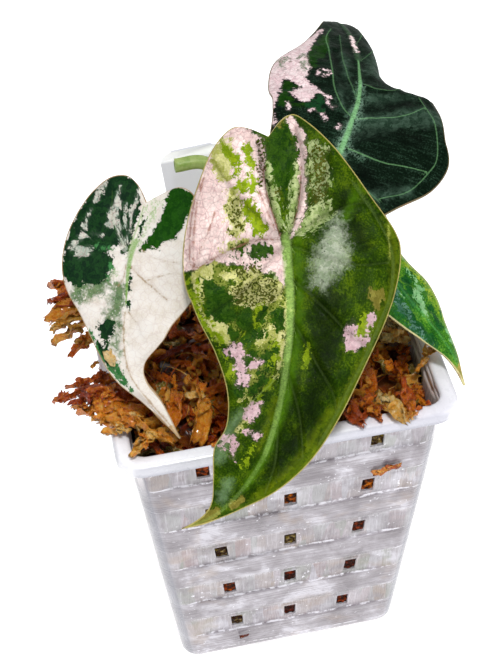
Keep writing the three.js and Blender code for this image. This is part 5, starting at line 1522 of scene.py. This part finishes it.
def laid_copies(name, template, routes, skin, crumple=0.0, smooth=True):
    """Lays copies of a template along routes of four points: (points, width, height, twist, tint, light)"""
    data, shape = many(template, len(routes))
    count = len(shape)
    moved = np.zeros((len(routes) * count, 3))
    tints, lights = np.zeros(len(moved)), np.zeros(len(moved))
    share = np.clip(shape[:, 0], -0.1, 1.2)
    t = share[:, None]
    for k, (points, wide, tall, twist, tint, light) in enumerate(routes):
        a, b, c, d = (np.asarray(point, float) for point in points)
        forward = unit(3 * ((b - a) * (1 - t) ** 2 + 2 * (c - b) * t * (1 - t) + (d - c) * t * t))
        side = unit(np.cross((0.05, 0.03, 1.0), forward))
        lift = np.cross(forward, side)
        turn = twist[0] + twist[1] * share
        y, z = shape[:, 1] * wide, shape[:, 2] * tall
        y, z = y * np.cos(turn) - z * np.sin(turn), y * np.sin(turn) + z * np.cos(turn)
        rows = slice(k * count, (k + 1) * count)
        moved[rows] = along_route(points, t) + side * y[:, None] + lift * z[:, None]
        tints[rows], lights[rows] = tint, light
    moved += crumple * np.column_stack([wobble(moved, 1.7, seed) for seed in (1.1, 5.2, 8.3)])
    data.vertices.foreach_set("co", moved.astype(np.float32).ravel())
    data.update()
    # Painted shade: pieces low in the bed get a lower light value, except those hanging over the rim
    lit_share = 0.4 + 0.6 * fade(moved[:, 2] - bed_height(moved[:, 0], moved[:, 1]), -1.5, 3.0)
    outside = np.max(np.abs(moved[:, :2]), axis=1) > RIM_INSIDE
    mark(data, "tint", tints)
    mark(data, "light", lights * np.where(outside, 1, lit_share))
    finish_piece(name, data, [skin], smooth=smooth)


class Draws:
    """Small repeatable generator, the same on every machine"""

    def __init__(self, seed):
        self.state = seed

    def uniform(self, low, high):
        self.state = self.state * 16807 % 2147483647
        return low + (high - low) * self.state / 2147483647

    def choice(self, values):
        return values[int(self.uniform(0, len(values) - 1e-6))]


# Big single pieces that lie over the rim or stand out of the bed: four points of their route above the
# rim's top, half width, twist at the start and along the way, and tint
BIG_PIECES = [
    ((-53, -30.6, 2.2), (-47, -33.6, 4.4), (-40, -38.6, 4), (-33, -42, -1.6), 2.5, 0.2, 2.6, 0.58),
    ((-57.4, -28, 2.2), (-53, -29, 4.4), (-47, -29.6, 4.2), (-39, -29, -3), 2.7, -0.3, 0.9, 0.5),
    ((-62, -22.6, 2.4), (-57, -21.4, 4.4), (-51, -18.6, 3.6), (-41, -17, -4), 1.6, 0.4, 1.4, 0.3),
    ((-60, -17.6, 1.8), (-54, -17.6, 3.6), (-48, -16.6, 3), (-40, -14, -4), 1.5, -0.2, 1, 0.42),
    ((-55, -23.6, 2.4), (-50, -24.6, 4.8), (-46, -24.6, 4.6), (-38, -24, -4), 2.7, 0.2, -0.8, 0.38),
    ((-51.4, -36.4, 1.2), (-47, -36, 3.2), (-42, -35, 3), (-35, -33, -4), 2.4, 0.3, 1.1, 0.6),
    ((-45, -45.6, 1.2), (-42, -43, 3), (-38, -40, 2.6), (-31, -36, -5), 2.2, -0.4, 1.3, 0.64),
    ((-60, -25.4, 3), (-55, -25, 5), (-50, -24, 5), (-42, -23, 0), 1.8, 0.5, 1.5, 0.22),
    ((-62.4, 9.8, 2.2), (-56, 11.4, 5), (-47, 12, 5), (-37, 12, -5), 3.4, 0.3, -0.5, 0.56),
    ((-60, 24, 2.6), (-55, 20.4, 5), (-47, 17, 5), (-37, 15, -5), 3.1, -0.3, 0.6, 0.46),
    ((-61.4, 0.8, 1.6), (-55, 4, 4.2), (-47, 7, 4), (-37, 8, -5), 2.9, 0.3, 0.7, 0.62),
    ((-60, 15.6, 4), (-53, 14, 6.4), (-47, 13.6, 5.6), (-38, 13, -3), 2.7, 0.2, -0.9, 0.2),
    ((-56.4, -4, 1.4), (-51, -0.6, 3.4), (-46, 3, 3), (-38, 5, -5), 2, -0.3, 1.1, 0.5),
    ((-55, 29, 2), (-50, 25.6, 4), (-46, 22.6, 3.8), (-37, 20, -5), 2.2, 0.5, 0.9, 0.4),
    ((-61.4, 5.4, 2.4), (-56, 7.6, 5.2), (-49, 9.6, 5), (-40, 10, -2), 2.2, -0.6, 1, 0.68),
    ((-57, 19, 4.4), (-52, 17, 6), (-47, 15.6, 5.4), (-40, 14, -2), 2, 0.4, -1.2, 0.3),
    ((20.6, -49.4, 1.2), (19, -46, 3), (17, -42, 2.6), (14, -35, -6), 2.3, 0.2, 0.9, 0.26),
    ((33.2, -51, 1.2), (30, -47, 3.2), (27.6, -42, 2.6), (25, -34, -6), 2.4, -0.2, 0.8, 0.72),
    ((35.6, -48.4, 1), (34, -45.4, 2.6), (33, -42, 2.2), (31, -35, -6), 1.8, 0.4, 1.2, 0.44),
    ((12.4, -47.4, 1), (11, -45, 2.4), (9.6, -42, 2), (8, -35, -6), 1.8, -0.4, 1, 0.22),
    ((26, -48.6, 1.2), (24.6, -45.4, 2.8), (23, -42, 2.4), (20, -34, -6), 1.8, 0.3, 1.4, 0.36),
    ((41.7, -30, -3), (44, -28.6, 1.4), (46, -27.6, 1.8), (47.6, -26.6, 1), 0.8, 0.2, 0.8, 0.7),
    ((37.4, -8, -5), (39, -9.6, -3.4), (41, -11.6, -3.4), (43, -13.8, -5), 1.5, 0.1, 0.3, 0.9),
    ((35.8, -11.6, -4.6), (38, -13, -3), (40.4, -14.4, -3), (42.8, -15.6, -4.8), 1.5, -0.1, 0.3, 0.54),
    ((35, -15.6, -4.2), (37.6, -16.6, -2.4), (40, -17.2, -2.4), (42.6, -18, -4.4), 1.8, 0.1, -0.3, 0.78),
    ((-26, -19.6, -3), (-22, -26, 3.2), (-22.4, -35, 2.6), (-26.6, -41.2, -3.8), 3, 0.5, 0.9, 0.56),
    ((-31, -22, -3), (-29, -27, 2.4), (-31, -33, 2), (-34, -39, -4), 2.4, -0.5, 1, 0.48),
    ((-16, -30, -4), (-14, -34, 1), (-11, -38, 0.6), (-6, -41, -5), 2.4, 0.6, 1.1, 0.5),
    ((-38, -2, -4), (-36, -7, 1.6), (-38, -12, 1.6), (-41, -15, -4), 2.2, 0.4, 1.4, 0.52),
    ((22, -24, -3), (26, -28, 1.6), (27, -34, 1), (24, -39, -4), 2.6, -0.5, 1.2, 0.4),
    ((12, -30, -4), (16, -33, 1.2), (20, -35, 0.6), (25, -36, -5), 2.2, 0.5, 1.3, 0.62),
    ((34, -24, -5), (35, -29, -0.6), (36, -34, -1), (37, -39, -6), 2, 0.3, 1.6, 0.3),
    ((30, 4, -4), (34, 9, 1), (36, 15, 0.6), (36, 22, -5), 2.4, 0.6, 1.2, 0.5),
    ((-20, 24, -3), (-14, 30, 2), (-6, 34, 1.6), (2, 35, -4), 2.6, -0.6, 1.3, 0.44),
]

# Small loose flakes on the rim and wall: place above the rim's top, half length and way, and tint
LOOSE_BITS = [
    ((-21.5, -46.2, 0.4), (1.1, 0.2, 0), 0.5), ((-20.8, -50.2, -1.6), (1, 0, 0.3), 0.45),
    ((37.4, -46.6, 0.4), (0.9, 0.5, 0), 0.4), ((40.6, -45.4, 0.4), (0.6, -0.3, 0), 0.3),
    ((-51, -9, 0.4), (0.9, 0.8, 0), 0.55), ((-46.6, 33, 0.4), (0.4, 0.9, 0), 0.4),
    ((46.8, 20, 0.4), (0.3, 0.9, 0), 0.5),
]

# Flakes stuck to the front wall: place above the rim's top and reach, half width and tint
WALL_BITS = [
    ((28, -44.8, -27.6), (3.2, 1), 1.3, 0.5), ((31.4, -44.9, -26.4), (2.6, -0.5), 1, 0.36),
    ((30, -44.8, -27), (4, 0.8), 0.7, 0.62), ((-16.4, -38.6, -118.6), (1.5, 0.5), 0.5, 0.2),
]

# The fleck that lies on the left leaf: its route in the flat blade, and its height over it
LEAF_FLECK = ([26.4, 27.6, 28.8, 30], [4.6, 4.0, 3.4, 2.8], [0.7, 1.7, 1.7, 0.7])


def surface_route(random, length, arch, sink):
    """A short route over the bed at a random place and heading"""
    x, y = random.uniform(-BED_LIMIT, BED_LIMIT), random.uniform(-BED_LIMIT, BED_LIMIT)
    turn = random.uniform(0, 2 * math.pi)
    bend = random.uniform(-0.7, 0.7)
    tilt = random.uniform(-0.4, 0.4)
    points = []
    for share in (-0.5, -0.17, 0.17, 0.5):
        heading = turn + bend * share
        spot = (x + math.cos(heading) * length * share, y + math.sin(heading) * length * share)
        px, py = np.clip(spot, -BED_LIMIT - 1.6, BED_LIMIT + 1.6)
        rise = arch * (1 - (2 * share) ** 2) + tilt * length * share - sink
        points.append(np.array([px, py, bed_height(px, py) + rise]))
    return points


def short_route(spot, way, arch):
    """A route through a place, with its middle raised"""
    lift = (0, 0, arch)
    return [spot - way, spot - way * 0.3 + lift, spot + way * 0.3 + lift, spot + way]


def moss_pieces():
    skin = moss_skin("moss_strand_skin", 0.42)
    papery = moss_skin("moss_flake_skin", 0.34)
    random = Draws(7)
    draw = random.uniform
    strands, flakes, fibres, big = [], [], [], []
    for _ in range(STRAND_COUNT):
        length = draw(8, 17)
        tint = random.choice(STRAND_TINTS)
        thick = draw(1.2, 2.1)
        route = surface_route(random, length, draw(0, 3.4), draw(-1.8, 1.0))
        strands.append((route, thick, thick * 0.8, (0, draw(-2, 2)), tint, draw(0.55, 1)))
    for _ in range(FLAKE_COUNT):
        length = draw(2.6, 8)
        tint = random.choice(FLAKE_TINTS)
        wide = draw(1.0, 2.4)
        route = surface_route(random, length, draw(0, 2.8), draw(-2.8, 0.8))
        twist = (draw(-1.5, 1.5), draw(-1.8, 1.8))
        flakes.append((route, wide, draw(1.0, 1.8), twist, tint, draw(0.5, 1)))
    for _ in range(FIBRE_COUNT):
        length = draw(6, 16)
        route = surface_route(random, length, draw(-0.5, 2.5), draw(-2.4, 0.4))
        thick = draw(0.12, 0.26)
        fibres.append((route, thick, thick, (0, 0), random.choice(FIBRE_TINTS), draw(0.6, 1)))
    for *points, wide, start, twist, tint in BIG_PIECES:
        outer = points[0]
        points = [above_rim(point) for point in reversed(points)]
        big.append((points, wide, wide * 0.8, (start, twist), tint, 1.0))
        for _ in range(6 if abs(outer[0]) > 48 or abs(outer[1]) > RIM_INSIDE else 3):
            middle = along_route(points, draw(0.25, 0.97))
            middle = middle + [draw(-1, 1) * wide * 0.6, draw(-1, 1) * wide * 0.6, draw(-0.2, 1.4)]
            turn, reach = draw(0, 2 * math.pi), draw(1.2, 2.8)
            way = np.array([math.cos(turn), math.sin(turn), draw(-0.4, 0.5)]) * reach
            route = short_route(middle, way, draw(0, 1.4))
            twist = (draw(-1.4, 1.4), draw(-2, 2))
            size = (draw(0.8, 1.5), draw(0.8, 1.5))
            flakes.append((route, *size, twist, tint + draw(-0.16, 0.2), draw(0.6, 1)))
    for place, way, tint in LOOSE_BITS:
        route = short_route(above_rim(place), np.array(way, float), 0.4)
        flakes.append((route, 0.7, 0.5, (0, 0.4), tint, 1.0))
    for place, (dx, dz), wide, tint in WALL_BITS:
        steps = ((-1, -0.5), (-0.3, -0.8), (0.3, -0.8), (1, -0.5))
        route = [np.add(above_rim(place), (dx * k, out, dz * k)) for k, out in steps]
        flakes.append((route, wide, 0.5, (1.3, 0.3), tint, 1.0))
    along, across, lift = LEAF_FLECK
    route = list(Blade(LEAVES["left"]).place(along, across, np.array(lift)))
    flakes.append((route, 1.5, 0.8, (0.2, 0.4), 0.84, 1.0))
    laid_copies("moss_strands", scaled_strand(Draws(19)), strands, skin, 0.3, smooth=False)
    laid_copies("moss_flakes", torn_flake(Draws(23)), flakes, papery, 0.5)
    laid_copies("moss_curls", torn_flake(Draws(31), 22, 8), big, papery, 0.6)
    laid_copies("moss_fibres", thin_fibre(), fibres, skin)


def window_moss():
    """Lumps of moss that press into the pot's windows, nearly flush with its wall"""
    mesh = bmesh.new()
    random = Draws(41)
    tints = []

    def lump(row, turn, x, seed):
        def shape(t, s):
            across = x + (2 * s - 1) * (HOLE_HALF + 0.25)
            z = row_height(row) + (1 - 2 * t) * (HOLE_TALL_HALF + 0.25)
            edge = np.minimum(np.minimum(s, 1 - s) * 5, np.minimum(t, 1 - t) * 7)
            spots = np.column_stack([across, z, 0 * t])
            crumple = 0.5 * wobble(spots, 1.3, seed) + 0.25 * wobble(spots, 0.6, seed + 4)
            out = wall_half(z) - 0.55 + np.minimum(crumple, 0.25) - 1.4 * (1 - fade(edge, 0, 0.4))
            c, s = math.cos(turn), math.sin(turn)
            return np.column_stack([across * c + out * s, across * s - out * c, z])
        return shape

    for row in range(ROW_COUNT):
        for side in range(4):
            for x in (-column_place(row), 0, column_place(row)):
                seed, tint = random.uniform(0, 90), random.choice(WINDOW_TINTS)
                verts = shaped_grid(mesh, 10, 8, lump(row, side * math.pi / 2, x, seed), close=False)
                tints += [tint] * len(verts)
    data = as_data("moss_windows", mesh)
    mark(data, "tint", tints)
    mark(data, "light", 0.16 + 0.8 * wobble(corners(data), 1.1, 3.3))
    finish_piece("moss_windows", data, [moss_skin("moss_window_skin", 0.36, 0.0, 0.05)])


# Stalks and crown


def from_socket(number, *points):
    """A stalk's path from its socket in the crown through other points above the rim"""
    turn = number / SOCKET_COUNT * 2 * math.pi - math.pi / 2
    x, y = CROWN[0] + SOCKET_RING * math.cos(turn), CROWN[1] + SOCKET_RING * math.sin(turn)
    return [above_rim(point) for point in ((x, y, CROWN_TOP - SOCKET_DEPTH + GAP), (x, y, CROWN_TOP), *points)]


def stem_skin(name, low, high, blush):
    """Juicy stalk: fine long ridges, pale mottling, and a blush near its base"""
    nodes = new_finish(name, low, Coat_Weight=0.15, Coat_Roughness=0.2, IOR=1.42)
    place = nodes.place()
    colour = nodes.blend(nodes.step(nodes.noise(place, 0.35, 4.0, 0.6), 0.35, 0.65), low, high)
    base = nodes.step(nodes.height(place), POT_HEIGHT - 6, POT_HEIGHT + 18, 0.8, 0.0)
    ridges = nodes.noise(nodes.stretch(place, (3.0, 3.0, 0.4)), 1.0, 3.0)
    dullness = nodes.patches(place, 1.2, 3.0, 0.3, 0.45)
    return nodes.dress(nodes.blend(base, colour, blush), dullness, ridges, 0.2, 0.6)


def stem_piece(name, leaf, skin):
    """A leaf's stalk, from the crown to the blade's underside: thicker at its foot and under the blade"""
    top, above = Blade(leaf).place([0, 0], [0, 0], np.array([0.0, 1.0]))
    down = top - above
    joint = top + down * (BLADE_THICK / 2 + BLADE_GAP)
    path = Path(from_socket(leaf["socket"], leaf["bend"]) + [top + down * 7, joint])

    def radius(t):
        return lerp(1.7, 1.2, min(1, 1.6 * t)) * (1 + 0.35 * max(0, 1 - 9 * t) + 0.25 * max(0, 12 * t - 11))

    mesh = bmesh.new()
    swept(mesh, path, radius, 60, 20)
    finish_piece("stem_" + name, mesh, [skin], ["stalk_" + name])


def cut_stem():
    """Old stalk cut off short: its end is sliced across and has dried hollow"""
    path = Path(from_socket(3, (0, 19, 14), (-3, 30, 29), (-9, 33, 35), (-17.5, 33, 35.5)))
    mesh = bmesh.new()
    rings = 64

    def shape(t, s):
        reach = np.clip(t * rings / (rings - 3), 0, 1)
        centre, forward, side, lift = path.section(reach)
        step = np.round(t * rings)
        inward = np.select([step == rings - 2, step == rings - 1, step == rings], [0.72, 0.6, 0], 1)
        angle = -2 * np.pi * s
        radius = lerp(1.7, 2.1, np.clip(reach * 2 - 0.5, 0, 1)) * inward * (1 + 0.05 * np.cos(5 * angle))
        centre = centre - forward * np.where(step >= rings - 1, 1.3, 0)[:, None]
        return centre + side * (radius * np.cos(angle))[:, None] + lift * (radius * np.sin(angle))[:, None]

    shaped_grid(mesh, rings, 20, shape)
    bmesh.ops.holes_fill(mesh, edges=[edge for edge in mesh.edges if edge.is_boundary], sides=0)
    skin = stem_skin("cut_stem_skin", tone(128, 156, 74), tone(160, 178, 104), tone(150, 92, 60))
    finish_piece("stem_cut", mesh, [skin], ["stalk_cut"])


# Section of the crown from its foot up: radius and height above the rim's top
CROWN_PROFILE = [
    (0, -24), (2.4, -23.8), (3.8, -22.6), (5.4, -19), (6.3, -16), (6.9, -12), (7, -9), (6.7, -5.6), (6.1, -3.8),
    (4.8, -3.1), (0, -3),
]


def crown_piece():
    """The stem at the moss's surface with its sheaths, and the roots that leave it"""
    mesh = bmesh.new()
    angle = np.linspace(0, 2 * np.pi, 37)
    rings = []
    for radius, z in reversed(CROWN_PROFILE):
        folded = radius * (1 - 0.05 * np.abs(np.sin(2.5 * angle)) * fade(z, -18, -8))
        rings.append(np.column_stack([
            CROWN[0] + folded * np.cos(angle), CROWN[1] + folded * np.sin(angle), 0 * angle + POT_HEIGHT + z,
        ]))
    ring_grid(mesh, rings)
    for k in range(ROOT_COUNT):
        turn = (k + 0.5) / ROOT_COUNT * 2 * math.pi
        reach = 20 + 3 * (k % 3)
        points = [
            above_rim((CROWN[0] + out * math.cos(turn), CROWN[1] + out * math.sin(turn), z))
            for out, z in ((4, -19), (12, -27), (reach, -47), (reach - 3, -73))
        ]
        swept(mesh, Path(points), lambda t: lerp(1.3, 0.7, t), 26, 10)
    skin = stem_skin("crown_skin", tone(150, 132, 84), tone(120, 104, 60), tone(132, 96, 60))
    finish_piece("crown_stem", mesh, [skin], ["crown"])


# Label


def label_plastic():
    """Matt white plastic, damp and brown near the moss, with a darker cut edge, and a faint painted glow
    that stands in for light shining through it
    """
    # Painted light: the label glows a little, standing in for light shining through it
    nodes = new_finish(
        "label_plastic", tone(240, 241, 248), IOR=1.49, Coat_Weight=0.2,
        Emission_Color=(1, 1, 1, 1), Emission_Strength=0.5,
    )
    place = nodes.place()
    haze = nodes.step(nodes.noise(place, 0.12, 4.0, 0.6), 0.35, 0.65)
    colour = nodes.blend(haze, tone(244, 245, 251), tone(230, 232, 242))
    damp = nodes.step(nodes.height(place), POT_HEIGHT - 12, POT_HEIGHT + 2, 0.55, 0.0)
    colour = nodes.blend(damp, colour, tone(168, 140, 104))
    colour = nodes.blend(nodes.value("edge"), colour, tone(70, 76, 96))
    dullness = nodes.patches(place, 0.4, 4.0, 0.3, 0.5)
    return nodes.dress(colour, dullness, nodes.noise(place, 0.6, 3.0), 0.08, 0.4)


def label_piece():
    """Blank plant label: a thin plate with rounded top corners and a point that is pushed into the moss"""
    half, shoulder = LABEL_WIDTH / 2, LABEL_POINT - LABEL_LENGTH
    mesh = bmesh.new()
    outline = [(-half, 0), (-half, shoulder), (0, -LABEL_LENGTH), (half, shoulder), (half, 0)]
    verts = [mesh.verts.new((x, 0, z)) for x, z in outline]
    mesh.faces.new(verts)
    bmesh.ops.bevel(
        mesh, geom=[verts[0], verts[-1]], offset=LABEL_CORNER, segments=8, profile=0.5, affect="VERTICES",
        material=-1,
    )
    for k in range(1, 24):
        parts = mesh.verts[:] + mesh.edges[:] + mesh.faces[:]
        bmesh.ops.bisect_plane(mesh, geom=parts, plane_co=(0, 0, -LABEL_LENGTH * k / 24), plane_no=(0, 0, 1))
    for vert in mesh.verts:
        vert.co.y += 0.5 * math.sin((vert.co.z + 20) / 22) + 0.004 * vert.co.x ** 2
    bmesh.ops.solidify(mesh, geom=mesh.faces[:], thickness=LABEL_THICK)
    bmesh.ops.recalc_face_normals(mesh, faces=mesh.faces[:])
    edge = mesh.verts.layers.float.new("edge")
    for vert in mesh.verts:
        vert[edge] = 0.8 if min(half - abs(vert.co.x), -vert.co.z) < 0.05 else 0.0
    turn = Matrix.Rotation(math.radians(-2), 4, "X") @ Matrix.Rotation(math.radians(-4), 4, "Y")
    place = Matrix.Translation((-11.5, 38 - LABEL_THICK / 2, POT_HEIGHT + LABEL_SHOWS)) @ turn
    bmesh.ops.transform(mesh, verts=mesh.verts[:], matrix=place)
    finish_piece("plant_label", mesh, [label_plastic()], ["label"], smooth=False)


# Stage, light and camera


# In metres: half width of the floor, and the name, place, aim, width and power of each lamp
FLOOR_HALF = 40
LAMPS = [
    ("key", (0.02, -0.42, 1.35), (0.0, 0.0, 0.14), 0.18, 9.5),
    ("top", (-0.3, 0.35, 1.5), (0.0, 0.0, 0.1), 1.1, 5.0),
    ("front", (0.75, -1.1, 0.6), (0.0, 0.0, 0.1), 0.7, 5.0),
]


def stage_and_light():
    """Plain pale floor, white surroundings and three soft lamps"""
    mesh = bmesh.new()
    bmesh.ops.create_grid(mesh, x_segments=1, y_segments=1, size=FLOOR_HALF)
    floor = shown("floor", as_data("floor", mesh))
    paint = new_finish(
        "floor_paint", tone(190, 190, 190), Roughness=0.9, Specular_IOR_Level=0.0,
        Emission_Color=(1, 1, 1, 1), Emission_Strength=0.7,
    )
    floor.data.materials.append(paint.material)
    world = bpy.data.worlds.new("studio")
    bpy.context.scene.world = world
    world.use_nodes = True
    world.node_tree.nodes["Background"].inputs["Color"].default_value = (1, 1, 1, 1)
    world.node_tree.nodes["Background"].inputs["Strength"].default_value = 0.36
    for name, spot, aim, size, power in LAMPS:
        lamp = bpy.data.lights.new(name, "AREA")
        lamp.size = size
        lamp.energy = power
        holder = shown(name, lamp)
        holder.location = spot
        holder.rotation_mode = "QUATERNION"
        holder.rotation_quaternion = (Vector(aim) - Vector(spot)).to_track_quat("-Z", "Y")


def photo_camera():
    """Camera where the picture was taken from: its right, down and forward ways, its place in millimetres,
    and its focal length in pixels of the photo's height"""
    right = Vector((0.97925132, -0.19996702, -0.03286411))
    down = Vector((-0.1702674, -0.72394071, -0.66851991))
    forward = Vector((0.10989026, 0.66024468, -0.74296776))
    place = Vector((-50.10, -285.18, POT_HEIGHT + 313.15))
    focal, tall = 1400, 667
    lens = bpy.data.cameras.new("camera")
    lens.sensor_width = 36
    lens.lens = lens.sensor_width * focal / tall
    lens.clip_start = 0.01
    lens.clip_end = 20
    camera = shown("camera", lens)
    turn = Matrix((right, -down, -forward)).transposed()
    camera.matrix_world = Matrix.Translation(place * MM) @ turn.to_4x4()
    bpy.context.scene.camera = camera


photo_camera()
stage_and_light()
bpy.context.scene.view_settings.view_transform = "Standard"
pot_piece()
moss_bed()
window_moss()
moss_pieces()
stalk_green = stem_skin("stalk_skin", tone(104, 140, 56), tone(150, 178, 92), tone(176, 150, 110))
for leaf_name, leaf in LEAVES.items():
    leaf_piece(leaf_name, leaf)
    stem_piece(leaf_name, leaf, stalk_green)
cut_stem()
crown_piece()
label_piece()
